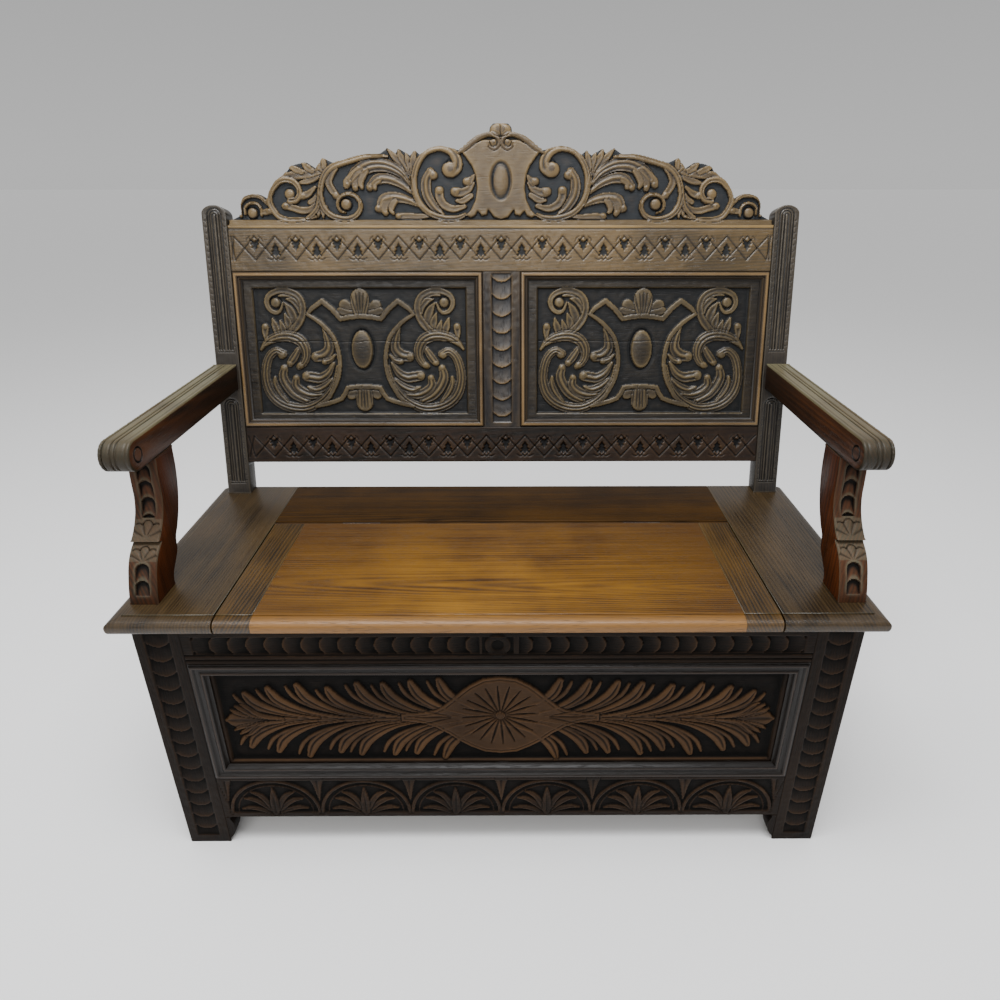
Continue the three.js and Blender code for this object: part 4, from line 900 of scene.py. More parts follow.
# Panels of the back
# Two oak panels, carved alike: a strapwork shield round a plain oval boss, a leaf at its crown and another
# hung from its foot, and acanthus scrolls to either side. Each has shrunk and cracked along its grain.
# The blue-grey recess colour of the panels is a painted reflection.
PANEL_OAK = waxed_oak("brown_stained_oak_panel_painted_blue_reflection", "x", (0.35, 0.4), dark="#0f0d0b", light="#2c2419",
                      worn_and_highlight="#635437", recess="#080a0c", rough=0.33, lean=RAKE, shine=0.4)
SHIELD_BANDS = [
    [(94, 323, 3), (86, 333, 4.2), (67, 346, 4.6), (50, 332, 4.6), (36, 315, 4.4), (18, 318.5, 4.4),
     (0, 319.5, 4.4)],
    [(94, 323, 3), (73, 309, 4), (54, 289, 4), (46, 272, 4), (42, 251, 4), (42, 231, 4), (47, 209, 4),
     (56, 191, 4), (68, 173, 4), (89, 160, 3)],
    [(89, 160, 3), (74, 164, 4.2), (55, 169, 4.2), (42, 174, 4.2), (35, 183, 4.2), (30, 194, 4.2),
     (15, 195.5, 4.2), (0, 196, 4.2)],
]
BROAD_SCROLLS = [
    [(181, 262, 2), (170, 275, 5), (152, 284, 7.5), (129, 286, 8.5), (111, 279, 8.5), (102, 266, 8),
     (101, 250, 6.5), (107, 238, 5.5), (115, 232, 4.5)],
    [(143, 254, 6), (156, 259, 6), (169, 248, 6.5), (176, 228, 7), (177, 205, 7.5), (170, 183, 8),
     (155, 167, 8), (133, 158, 8), (108, 157, 7.5), (84, 167, 6.5), (65, 185, 5.5), (52, 208, 4),
     (47, 232, 2)],
]
SCROLLS = [
    [(142, 355, 1.5), (126, 357, 4), (113, 350, 4.4), (106, 340, 3)],
    [(130, 349, 1.5), (119, 346, 5), (110, 336, 5), (108, 325, 3)],
    [(132, 342, 1.8), (124, 330, 6.4), (119, 315, 6.8), (124, 300, 5)],
    [(134, 324, 1.8), (130, 312, 5.6), (128, 300, 5.6), (133, 290, 3)],
    [(144, 312, 1.8), (141, 302, 4.8), (139, 294, 4.8), (142, 287, 3)],
    [(156, 316, 1.8), (153, 305, 5.4), (150, 295, 5.4), (150, 286, 3)],
    [(171, 300, 6), (172, 290, 4.8), (171, 278, 2.5)],
    [(136, 343, 1.6), (141, 331, 2.6), (149, 326, 3.2), (160, 331, 3.8), (165, 345, 4.2), (157, 358, 4.6),
     (135, 364, 5), (112, 357, 5.2), (102, 341, 5.2), (104, 320, 5.6), (115, 303, 6), (130, 291, 5),
     (152, 284, 4), (172, 270, 2)],
    [(131, 238, 4.8), (123, 248, 5.6), (114, 262, 4)],
    [(143, 229, 5), (146, 213, 6.8), (139, 196, 7.2), (126, 181, 7), (106, 170, 5)],
    [(122, 211, 4.8), (123, 198, 6.2), (113, 187, 6.8), (96, 181, 6), (78, 182, 3)],
    [(160, 213, 2), (160, 198, 4.8), (152, 181, 5.2), (140, 168, 3)],
    [(102, 195, 2), (88, 190, 5.2), (72, 196, 5.6), (58, 208, 3)],
    [(102, 215, 7), (90, 213, 7.4), (78, 212, 7), (64, 220, 5.6), (52, 238, 2.5)],
    [(69, 300, 1.5), (62, 282, 5.2), (60, 264, 7.2), (70, 252, 8), (84, 249, 7)],
    [(68, 241, 4.6), (58, 244, 3.6), (50, 252, 2)],
]
TIPS = [(171, 302, 6.4), (145, 252, 7.2), (113, 234, 6.6), (131, 238, 5.2), (143, 229, 6), (122, 212, 5.8),
        (103, 215, 7.8), (85, 249, 7.6), (69, 240, 5.2)]
LEAF_LOBES = [
    [(8, 184, 7), (16, 183, 8), (23, 181, 8.4)],
    [(10, 328, 7), (21, 333, 9.5), (28, 338, 10.5)],
    [(12, 325, 5), (26, 326, 6), (36, 329, 6.4)],
]
BACK_CENTRE = 251.0
PANEL_HALF = (208, 189)
PANEL_FIELD = (147, 369)
PANEL_ENDS = (25.3, 476.8)
BOSS_HEIGHT = 262
CRACK_HEIGHT = 276
CROWN_LEAF = [(330, 13), (342, 16), (351.5, 16)]
FOOT_LEAF = [(188, 13), (176, 15.5), (166.5, 15)]
for side, sign in SIDES:
    centre = sign * BACK_CENTRE
    panel = Relief((centre - PANEL_HALF[0], 136), (centre + PANEL_HALF[0], 382), 1.25)
    panel.sink((centre - PANEL_HALF[1], PANEL_FIELD[0]), (centre + PANEL_HALF[1], PANEL_FIELD[1]), 4.8, 2.5)
    panel.pairs(centre, SCROLLS[:8], 4.4, groove=1.7, ribs=1, full=1.1)
    panel.pairs(centre, SCROLLS[8:], 4.5, groove=1.8, ribs=2, full=1.28)
    panel.pairs(centre, BROAD_SCROLLS, 4.8, groove=1.9, ribs=3, full=1.16)
    panel.knobs(centre, TIPS, 4.9)
    for flip in (-1, 1):
        panel.dome(centre + flip * 149, 343, 8.8, 8.8, 4.6)
    panel.pairs(centre, LEAF_LOBES, 4.2, groove=1.0, ribs=1)
    for leaf, rise in ((CROWN_LEAF, 4.7), (FOOT_LEAF, 4.5)):
        panel.ridge([(centre, z, w) for z, w in leaf], rise, wall=0.7)
    for lean in (-0.5, -0.22, 0, 0.22, 0.5):
        for vein in ([(14, 325, 0.9), (24, 342, 1.7), (30, 361 - 12 * abs(lean), 0.8)],
                     [(22, 190, 0.9), (24, 174, 1.6), (26, 157 + 8 * abs(lean), 0.7)]):
            panel.cut([(centre + lean * reach, z, w) for reach, z, w in vein], 2.0, steps=3)
    half = [(x, z) for x, z, _ in SHIELD_BANDS[0][::-1] + SHIELD_BANDS[1] + SHIELD_BANDS[2]]
    shield = [(centre + x, z) for x, z in half] + [(centre - x, z) for x, z in half[::-1]]
    panel.h = np.where(within(shield, panel.X, panel.Z), panel.ground, panel.h)
    for line, steps in zip(SHIELD_BANDS, (1, 6, 1)):
        for flip in (-1, 1):
            panel.ridge([(centre + flip * x, z, w) for x, z, w in line], 4.8, wall=0.85, steps=steps)
    panel.hollow(centre, BOSS_HEIGHT, 26, 41, 1.2)
    panel.dome(centre, BOSS_HEIGHT, 19, 33.5, 6.3, wall=0.35, shade=2)
    crack = [(centre + x, CRACK_HEIGHT + 0.8 * math.sin(x / 17) + 0.5 * math.sin(x / 5), 0.8)
             for x in range(-186, 187, 12)]
    panel.cut(crack[:: 1 if side == "left" else 2], 2.2, steps=1)
    panel.tooled(32 + sign, 0.14)
    in_field = (np.abs(panel.X - centre) < 187) & (np.abs(panel.Z - sum(PANEL_FIELD) / 2) < 109)
    panel.bare = np.where(in_field, 0.9, 0.15)
    ends = sorted(sign * end for end in PANEL_ENDS)
    carve(f"back_panel_{side}", panel, RAKED, PANEL_OAK, ((ends[0], 9, 116.3), (ends[1], 23, 402.7)))

# Back posts
# Two raked oak posts that stand on the seat with the rails tenoned between them. Each has rounded shoulders
# and two runs of fluting that end in round arches, one below the arm and one above it, and pricked dots.
POST_MIDDLE = 490.1
POST_HALF = 21
POST_FOOT = 0.31
POST_THICK = 30.0
SHOULDER_HEIGHT, SHOULDER_RISE = 488, 15
FLUTES = (3.0, 7.6, 11.8)
FLUTE_RUNS = ((22, 178), (260, 501))
DOT_RUNS = ((26, 172), (268, 482))
DOT_OUT, DOT_RADIUS, DOT_DEPTH = 15.6, 1.9, 1.5


def slab(node, relief, outline, thick, board, material, round_edge=1.2, slant=0.0):
    """A board sawn to an outline. Its relief is trimmed to the outline in front, and its back is flat, with
    its foot cut at a slant."""
    bm = merged(node, board)
    front = min(v.co.y for v in bm.verts)
    bm.free()
    ring = closed(outline)
    foot = ring[:, 1].min()
    away = beside(ring, relief.X, relief.Z)[0] * np.where(within(outline, relief.X, relief.Z), 1, -1)
    t = np.where(relief.Z < foot + round_edge, 0, 1 - away / round_edge)
    relief.h -= round_edge * (1 - arc(t)) * ROUNDING
    wear_and_highlight, sunk = relief.marks()
    # A strip along the rounded edge of the outline gets the worn colour: partly wear, partly a painted
    # highlight.
    wear_and_highlight = np.maximum(wear_and_highlight, clamp(1 - np.abs(away - round_edge / 2) / round_edge) * 0.5)
    kept = away > -0.45 * (relief.x[1] - relief.x[0])
    cells = kept[:-1, :-1] & kept[1:, :-1] & kept[1:, 1:] & kept[:-1, 1:]
    padded = np.pad(cells.astype(int), 1)
    around = padded[:-1, :-1] + padded[1:, :-1] + padded[:-1, 1:] + padded[1:, 1:]
    gx, gz = np.gradient(away, relief.x, relief.z)
    size = np.maximum(np.hypot(gx, gz), WELD)
    used, rim = around > 0, (around > 0) & (around < 4)
    x = np.where(rim, relief.X - away * gx / size, relief.X)
    x = np.clip(x, ring[:, 0].min(), ring[:, 0].max())
    z = np.maximum(np.where(rim, relief.Z - away * gz / size, relief.Z), foot)
    at = np.cumsum(used.ravel()).reshape(used.shape) - 1
    mesh = bpy.data.meshes.new(node)
    mesh.from_pydata(np.stack([x * MM, front - relief.h * MM, z * MM], -1)[used], [], quads(at)[cells])
    note(mesh, "wear_and_highlight", wear_and_highlight[used])
    note(mesh, "sunk", sunk[used])
    mesh.polygons.foreach_set("use_smooth", np.ones(len(mesh.polygons), bool))
    bm = bmesh.new()
    bm.from_mesh(mesh)
    made = bmesh.ops.extrude_edge_only(bm, edges=[e for e in bm.edges if len(e.link_faces) == 1])["geom"]
    fresh = [g for g in made if isinstance(g, bmesh.types.BMVert)]
    walls = {f for v in fresh for f in v.link_faces}
    for v in fresh:
        v.co.y = front + thick * MM
        for name in ("wear_and_highlight", "sunk"):
            v[bm.verts.layers.float[name]] = 0.0
        if v.co.z < (foot + 0.6) * MM:
            v.co.z += slant * MM
    bmesh.ops.holes_fill(bm, edges=[e for e in bm.edges if len(e.link_faces) == 1], sides=0)
    for face in walls:
        face.smooth = True
    bmesh.ops.recalc_face_normals(bm, faces=bm.faces)
    written(bm, mesh)
    mesh.set_sharp_from_angle(angle=math.radians(50))
    put(mesh, f"{node}_carved", "settle", material, [node], board=board)


def fluted(post, middle, low, top):
    """Nested round-headed flutes between a lower stop and the top of the outermost arch."""
    centre = top - FLUTES[-1] - 3
    across = np.where(post.Z > centre, np.hypot(post.X - middle, post.Z - centre), np.abs(post.X - middle))
    for reach in FLUTES:
        post.h -= 2.0 * bell((across - reach) / 1.25) * clamp((post.Z - low) / 1.5)
    post.cut([(middle - 13.5, low - 1.5, 1.2), (middle + 13.5, low - 1.5, 1.2)], 1.6, steps=1)


# The grey in the posts' colours is a painted sheen.
POST_OAK = waxed_oak("brown_stained_oak_post_painted_grey_sheen", "z", (0.3, 0.0), dark="#121110", light="#302921",
                     worn_and_highlight="#6b604c", recess="#0a0b0c", rough=0.32, lean=RAKE)
for side, sign in SIDES:
    middle = sign * POST_MIDDLE
    post = Relief((middle - POST_HALF, POST_FOOT), (middle + POST_HALF, SHOULDER_HEIGHT + SHOULDER_RISE),
                  1.25)
    for low, top in FLUTE_RUNS:
        fluted(post, middle, low, top)
    for run in DOT_RUNS:
        for z in np.arange(*run, 10):
            for x in (middle - DOT_OUT, middle + DOT_OUT):
                post.dome(x, z, DOT_RADIUS, DOT_RADIUS, -DOT_DEPTH, wall=0, base=0, shade=0)
                post.h -= DOT_DEPTH * clamp(1 - np.hypot(post.X - x, post.Z - z) / DOT_RADIUS)
    post.tooled(40 + sign)
    crown = [(middle + POST_HALF * math.cos(a), SHOULDER_HEIGHT + SHOULDER_RISE * math.sin(a))
             for a in np.linspace(0, math.pi, 25)]
    outline = [(middle - POST_HALF, POST_FOOT), (middle + POST_HALF, POST_FOOT)] + crown
    slab(f"back_post_{side}", post, outline, POST_THICK, RAKED, POST_OAK, slant=6.6)

# Crest
# A wide oak board housed between the posts on top of the frieze rail, sawn to the outline of its leaves.
# A shield with a plain oval boss stands in the middle, and leafy scrolls run down from it to each end.
CREST_HALF = 445.0
CREST_BAND = 486.0
CREST_TALL = 146.5
CREST_LEDGE = 479.0
CREST_DEEP = 6.2
CREST_THICK = 24.0
CREST_END, CREST_LOW, CREST_SHOULDER, CREST_TOP = 466.1, 471.3, 478.8, 632.5
CREST_RUNS = [
    [(0.027, 1), (0.04, 0.96), (0.043, 0.905)],
    [(0.09, 0.865), (0.13, 0.78), (0.158, 0.715)],
    [(0.19, 0.735), (0.228, 0.755), (0.27, 0.73), (0.305, 0.665)],
    [(0.325, 0.71), (0.345, 0.66)],
    [(0.385, 0.73), (0.4, 0.68)],
    [(0.43, 0.735), (0.46, 0.675)],
    [(0.515, 0.668), (0.56, 0.64), (0.605, 0.6), (0.64, 0.585)],
    [(0.675, 0.63), (0.703, 0.52)],
    [(0.738, 0.585), (0.79, 0.555), (0.828, 0.45)],
    [(0.862, 0.375), (0.885, 0.27), (0.895, 0.19)],
    [(0.92, 0.235), (0.95, 0.24), (0.985, 0.205), (1, 0.12), (0.998, 0.02)],
]
CREST_LEAVES = [
    [(412, 490, 1.5), (404, 493, 5), (392, 494, 5), (384, 489, 3)],
    [(368, 502, 6), (356, 499, 6), (342, 495, 6), (326, 497, 5.4), (312, 512, 3)],
    [(338, 519, 6), (328, 522, 5.6), (316, 532, 3)],
    [(326, 508, 4.4), (318, 514, 4), (311, 524, 2.4)],
    [(341, 539, 3), (328, 542, 5.6), (315, 547, 5.4), (304, 552, 3)],
    [(371, 551, 4), (352, 551, 7), (332, 553, 7.4), (313, 556, 6), (300, 559, 4)],
    [(361, 565, 1.8), (350, 561, 5), (338, 556, 5)],
    [(336, 571, 1.8), (329, 564, 5.4), (320, 558, 5)],
    [(315, 575, 1.8), (310, 568, 5), (303, 561, 4.6), (298, 553, 3)],
    [(303, 582, 1.8), (300, 572, 4.8), (299, 563, 4.4)],
    [(313, 501, 3), (312, 492, 4), (314, 484, 1.2)],
    [(307, 502, 3), (305, 492, 4), (305, 482, 1.2)],
    [(300, 501, 3), (298, 492, 4), (296, 484, 1.2)],
    [(276, 562, 2), (287, 552, 5.4), (292, 541, 6.6), (288, 530, 6.4), (281, 521, 5.6)],
    [(191, 591, 1.5), (181, 581, 5.4), (168, 567, 5.6), (154, 550, 4)],
    [(173, 591, 1.5), (168, 580, 5.4), (159, 565, 5.2), (152, 549, 3.6)],
    [(160, 588, 1.5), (157, 576, 4.6), (153, 562, 4.4), (149, 548, 3)],
    [(145, 590, 1.5), (148, 578, 5.2), (150, 564, 4.8), (149, 548, 3.4)],
    [(105, 524, 7.6), (103, 513, 7.4), (95, 503, 7), (80, 498, 6), (62, 502, 4)],
    [(76, 524, 8), (65, 524, 7.4), (55, 529, 6), (48, 538, 4)],
    [(56, 541, 7), (50, 545, 5), (46, 550, 3)],
    [(75, 511, 3), (64, 511, 5.4), (50, 519, 4.4)],
    [(176, 485, 5.4), (161, 486, 5.4), (142, 485, 4.8), (124, 486, 3.6)],
]
BROAD_LEAVES = [
    [(154, 538, 4), (170, 556, 8), (194, 567, 10.5), (220, 567, 12), (242, 556, 11.5), (254, 544, 9)],
    [(152, 524, 3), (168, 537, 6.5), (190, 546, 8.4), (209, 545, 8.8), (222, 534, 6.5)],
    [(140, 502, 3), (158, 511, 6.4), (181, 516, 8.6), (200, 512, 9.6), (207, 499, 7.5)],
    [(98, 488, 3), (112, 499, 7), (125, 519, 8.8), (127, 541, 8.6), (119, 557, 7)],
]
CREST_LOBES = [
    [(240, 560, 6), (250, 550, 7.5), (260, 541, 7), (262, 535, 5.5)],
    [(236, 558, 6), (244, 547, 7), (248, 537, 6.5), (248, 530, 5)],
    [(228, 557, 5), (235, 547, 5.6), (238, 538, 5), (236, 532, 3.6)],
    [(207, 543, 5), (214, 538, 5), (214, 531, 3.8)],
    [(190, 511, 6), (198, 503, 6.6), (200, 495, 6), (198, 490, 4.6)],
    [(180, 510, 5), (186, 502, 5.4), (187, 495, 4.6), (184, 491, 3)],
]
CREST_TIPS = [(261, 536, 6), (248, 531, 5.6), (223, 531, 6), (210, 498, 6.4), (198, 491, 5.6),
              (176, 486, 6), (115, 551, 8), (105, 527, 8), (78, 525, 8.6), (58, 541, 7.6),
              (281, 519, 6.6), (338, 518, 6.6), (369, 502, 6.6), (397, 494, 5.6)]
CREST_SCROLLS = [
    [(445, 487, 2.8), (445, 504, 3), (440, 513, 3), (431, 518, 3.2), (418, 519, 3.2), (409, 516, 3),
     (402, 510, 2.8), (396, 503, 2)],
    [(411, 487, 2), (412, 499, 2.2), (419, 506, 2.4), (430, 506, 2.4), (438, 499, 2.2), (439, 489, 2)],
    [(318, 485, 3), (340, 481, 3.6), (360, 480, 4.2), (379, 484, 4.8), (390, 497, 4.8), (395, 512, 4.8),
     (390, 528, 4.8), (377, 541, 4.8), (364, 544, 4.6), (352, 541, 4.6), (344, 532, 4.4), (343, 521, 4.4),
     (349, 512, 4.8), (360, 510, 5)],
    [(332, 483, 3), (322, 490, 3.6), (314, 500, 3.6), (310, 515, 3.6), (308, 532, 3), (303, 548, 3)],
    [(192, 580, 2), (208, 581, 3.6), (229, 580, 4.4), (250, 575, 4.8), (270, 569.5, 4.8), (287, 563, 4.8),
     (300, 550, 4.8),
     (307, 532, 4.8), (308, 515, 4.8), (303, 498, 4.8), (290, 486, 4.6), (269, 481, 4.4), (252, 485, 4.2),
     (242, 496, 4), (242, 509, 3.6), (251, 519, 3.6), (264, 521, 3.2), (276, 515, 2.8), (280, 504, 2.6),
     (276, 494, 2), (267, 491, 1.5)],
    [(151, 548, 3.6), (149, 532, 3.8), (145, 516, 3.8), (136, 501, 3.6), (121, 489, 3)],
    [(84, 559, 11), (76, 564, 10), (75, 575, 8.4), (82, 586, 6.8), (95, 592.5, 5.6), (110, 592.5, 4.8),
     (127, 586, 4.8), (140, 570, 4.8), (147, 550, 4.8), (147, 530, 4.8), (142, 512, 4.8), (130, 496, 4.8),
     (115, 487, 4.8), (95, 482, 4.8), (75, 483, 4.2), (62, 488, 3)],
]
SHIELD = [(0, 612), (-18, 606), (-30, 606), (-44, 600), (-58, 590), (-66, 587), (-58, 577), (-49, 565),
          (-43, 550), (-41, 530), (-44, 511), (-52, 496), (-61, 487), (-52, 483), (-44, 487), (-40, 494),
          (-33, 486), (-24, 488), (-22, 496), (-12, 484), (0, 480)]
EAR_SCROLL = [(71, 586, 2.6), (58, 594, 4.2), (42, 606, 4.6), (26, 614, 4.4), (12, 614, 4), (3.4, 607, 3.2),
              (3.2, 598, 2.8), (10, 592, 2.4), (18, 595, 2), (20, 602, 1.6)]
EYES = ((426, 491, 8.8, 5.0, 1.5), (360, 521, 9, 5.4, 0.8), (265, 505, 9.4, 5.4, 1.5))
BOSS = (0, 542)
half = []
for run in CREST_RUNS:
    places = [(out * CREST_HALF, CREST_BAND + up * CREST_TALL, 1) for out, up in run]
    half += [(x, z) for x, z, _ in smooth_line(places)]
band = [(CREST_END, CREST_SHOULDER), (CREST_END, CREST_LOW)]
outline = band[:1] + half[::-1] + [(-x, z) for x, z in half + band] + band[1:]
crest = Relief((-CREST_END, CREST_LOW), (CREST_END, CREST_TOP), 1.4)
crest.h = np.where(crest.Z > CREST_LEDGE, -CREST_DEEP * clamp((crest.Z - CREST_LEDGE) / 2), 0)
crest.ground = -CREST_DEEP
crest.pairs(0, CREST_LEAVES, 5.2, groove=1.7, ribs=1)
crest.pairs(0, BROAD_LEAVES[1:], 5.6, groove=1.8, ribs=2)
crest.pairs(0, BROAD_LEAVES[:1], 5.8, groove=1.9, ribs=3)
crest.pairs(0, CREST_LOBES, 5.9, groove=1.2, ribs=1, shade=0.9)
crest.pairs(0, CREST_SCROLLS, 5.8, groove=1.7, wall=0.55, full=1.08)
crest.knobs(0, CREST_TIPS, 6.0)
crest.plate(SHIELD + [(-x, z) for x, z in SHIELD[-2:0:-1]], 5.6)
for flip in (-1, 1):
    crest.dome(flip * 86, 560, 14, 13, 6.2, wall=0.3, shade=0.5)
    crest.cut([(flip * 92, 571, 1.4), (flip * 87, 576, 1.8), (flip * 82, 571, 1.6)], 2.0)
    for x, z, r, rise, shade in EYES:
        crest.dome(flip * x, z, r, r, rise, shade=shade)
    crest.ridge([(flip * x, z, w) for x, z, w in EAR_SCROLL], 6.6, wall=0.6)
    crest.dome(flip * 12, 602, 5, 5, 6.4)
crest.hollow(*BOSS, 19.5, 32, 3.4)
crest.dome(*BOSS, 14, 27, 5.8, wall=0.35, shade=1.2)
crest.dome(0, 622, 17.5, 10.5, 6.2, wall=0.45)
crest.cut([(-1, 634, 1.6), (0.5, 622, 1.4), (0, 613, 0.6)], 1.6)
# The ledge below the leaves is lighter, rubbed and with a painted sheen, and the shield a little.
crest.sheen_and_polish = np.where(crest.Z < CREST_LEDGE, 0.85, 0) + 0.15 * (np.abs(crest.X) < 56) * (crest.Z < 604)
crest.tooled(51, 0.14)
# The blue-grey recess colour of the crest is a painted reflection.
CREST_OAK = waxed_oak("brown_stained_oak_crest", "x", (0.4, 0.45), dark="#18130e", light="#403325",
                      worn_and_highlight="#6e5b3b", recess="#181c20", rough=0.33, lean=RAKE, shine=0.4)
slab("crest", crest, outline, CREST_THICK, RAKED, CREST_OAK, round_edge=1.8)

# Arms
# Square oak rails, reeded along the top. The reeds roll over a half-round front end, with a ring cut round
# a flat eye on each side of the scroll. Each arm is tenoned onto its support and notched to the post.
ARM_TOP = 683.5
ARM_RADIUS = 21.75
ARM_FRONT = 38.0
ARM_MIDDLE = 495.5
ARM_WIDTH = 41.0
ARM_COLUMNS = 42
ARM_ARRIS = 2.4
POST_FACE, SEAT_HEIGHT, ARM_GAP = 385.88, 452.5, 0.4
TOP_STEPS, NOSE_STEPS, UNDER_STEPS = 130, 56, 60
GROOVES = ((5.2, 1.1, 1.9), (16.3, 1.0, 1.9), (22.8, 1.0, 1.9), (34.8, 1.0, 0.7))
REEDS = ((2.6, 2.6), (19.5, 2.6), (38.0, 3.0))
NICK_PITCH, NICK_DEPTH = 7, 0.8
EYE_RADIUS, CUT_WIDE, CUT_DEEP = 10.0, 1.5, 1.7
EYE_SIDES, CUT_SIDES = 48, 8


def wrapped(node, path, low, high, depth, arris, sheen_and_polish, painted_shade, flank, material, rings=()):
    """A piece sawn to a side outline, with depths carved across its width and along the outline, its long
    edges worn round, and shares along the outline of polish with painted sheen, of painted shade, and of
    darkening on its flat sides."""
    path = np.array(path, float)
    ahead, behind = np.roll(path, -1, 0), np.roll(path, 1, 0)
    if np.sum(path[:, 0] * ahead[:, 1] - ahead[:, 0] * path[:, 1]) < 0:
        path = path[::-1]
        ahead, behind = np.roll(path, -1, 0), np.roll(path, 1, 0)
        depth, arris = depth[:, ::-1], arris[:, ::-1]
        sheen_and_polish, painted_shade, flank = sheen_and_polish[::-1], painted_shade[::-1], flank[::-1]
    way = ahead - behind
    way /= np.maximum(np.hypot(*way.T), 1e-9)[:, None]
    out = np.stack([way[:, 1], -way[:, 0]], -1)
    columns, count = depth.shape
    spots = np.zeros((columns, count, 3))
    spots[..., 0] = np.linspace(low, high, columns)[:, None]
    spots[..., 1:] = path[None] + out[None] * np.minimum(depth, arris)[..., None]
    at = np.arange(columns * count).reshape(columns, count)
    sheet = quads(np.column_stack([at, at[:, :1]])).reshape(-1, 4).tolist()
    mesh = bpy.data.meshes.new(node)
    mesh.from_pydata(spots.reshape(-1, 3) * MM, [], sheet + [at[0].tolist(), at[-1].tolist()])
    soft = blurred(depth, 3)
    wear_and_highlight = clamp((depth - soft) / 0.9) * 0.7 + clamp(-arris) * 0.6
    # Upward-facing places get more of it: rubbed by hands, and a painted highlight from above.
    wear_and_highlight = np.maximum(wear_and_highlight * (0.6 + 0.4 * clamp(out[:, 1])), sheen_and_polish)
    # Grooves and deep cuts take the recess colour: old wax and painted shade.
    sunk = clamp((soft - depth) / 0.8) * 0.7 + clamp((-depth - 1.6) / 3) * 0.6
    corners = read(mesh.loops, "vertex_index")
    on_face = np.arange(len(corners)) < 4 * len(sheet)
    for name, values, sides in (("wear_and_highlight", wear_and_highlight, 0 * flank), ("sunk", np.maximum(sunk, painted_shade), flank)):
        values = np.where(on_face, clamp(values).ravel()[corners], sides[corners % count])
        note(mesh, name, values, "CORNER")
    bm = bmesh.new()
    bm.from_mesh(mesh)
    for face in bm.faces:
        face.smooth = len(face.verts) == 4
    bmesh.ops.recalc_face_normals(bm, faces=bm.faces)
    written(bm, mesh)
    if rings:
        mesh = ringed(mesh, rings)
    mesh.set_sharp_from_angle(angle=math.radians(45))
    put(mesh, f"{node}_carved", "settle", material, [node], board=LEVEL)


def ringed(mesh, rings):
    """Rings cut round the eyes on a piece's sides, each given by its centre and radius."""
    bm = bmesh.new()
    turns, sections = [np.linspace(0, 2 * math.pi, count, endpoint=False) for count in (EYE_SIDES, CUT_SIDES)]
    for (x, y, z), radius in rings:
        verts = []
        for a in turns:
            for b in sections:
                r = radius + CUT_WIDE * math.cos(b)
                spot = x + CUT_DEEP * math.sin(b), y + r * math.cos(a), z + r * math.sin(a)
                verts.append(bm.verts.new([c * MM for c in spot]))
        for i in range(EYE_SIDES):
            here, there = i * CUT_SIDES, (i + 1) % EYE_SIDES * CUT_SIDES
            for k in range(CUT_SIDES):
                after = (k + 1) % CUT_SIDES
                bm.faces.new([verts[here + k], verts[there + k], verts[there + after], verts[here + after]])
    bmesh.ops.recalc_face_normals(bm, faces=bm.faces)
    cutters = written(bm, bpy.data.meshes.new("cutters"))
    note(cutters, "sunk", np.ones(len(cutters.loops)), "CORNER")
    piece, tool = shown("ringed", mesh), shown("cutters", cutters)
    modifier = piece.modifiers.new("rings", "BOOLEAN")
    modifier.operation, modifier.solver, modifier.object = "DIFFERENCE", "EXACT", tool
    result = evaluated(piece)
    bpy.data.objects.remove(tool)
    return result


def walk(line):
    """How far along a line each of its places lies."""
    return np.concatenate([[0], np.cumsum(np.hypot(*np.diff(np.array(line), axis=0).T))])


rear_top, rear_low = [POST_FACE + (height - SEAT_HEIGHT) * math.tan(RAKE) - ARM_GAP
                      for height in (ARM_TOP, ARM_TOP - 2 * ARM_RADIUS)]
knuckle = (ARM_FRONT + ARM_RADIUS, ARM_TOP - ARM_RADIUS)
bend = np.linspace(0.04, math.pi, NOSE_STEPS)
path = [(y, ARM_TOP) for y in np.linspace(rear_top, knuckle[0], TOP_STEPS)]
path += [(knuckle[0] - ARM_RADIUS * math.sin(a), knuckle[1] + ARM_RADIUS * math.cos(a)) for a in bend]
path += [(y, ARM_TOP - 2 * ARM_RADIUS) for y in np.linspace(knuckle[0] + 4, rear_low, UNDER_STEPS)]
across = np.linspace(0, ARM_WIDTH, ARM_COLUMNS)
reeds = np.zeros(across.shape)
for groove, wide, deep in GROOVES:
    reeds -= deep * bell((across - groove) / wide)
for middle, reach in REEDS:
    t = np.abs(across - middle) / reach
    reeds -= 0.9 * (1 - arc(t)) * (t < 1)
arris = -ARM_ARRIS * (1 - arc(1 - np.minimum(across, ARM_WIDTH - across) / ARM_ARRIS))[:, None]
fade = np.concatenate([np.ones(TOP_STEPS), clamp((2.6 - bend) / 0.4), np.zeros(UNDER_STEPS)])
walked = walk(path)
ends = clamp(np.minimum(walked, walked[-1] - walked) / 4)
nicks = NICK_DEPTH * (0.5 + 0.5 * np.cos(walked / NICK_PITCH * 2 * math.pi)) ** 3
depth = (reeds[:, None] - nicks[None] * (across < 4.4)[:, None]) * (fade * ends)[None]
# The grey-green worn colour of the arms is a painted sheen.
ARM_OAK = waxed_oak("brown_oak_arm_painted_sheen", "y", (0.3, 0.5), dark="#251107", light="#583114",
                    worn_and_highlight="#67684f", recess="#0f0e0b", rough=0.36, shine=0.33)
steps = np.arange(len(path))
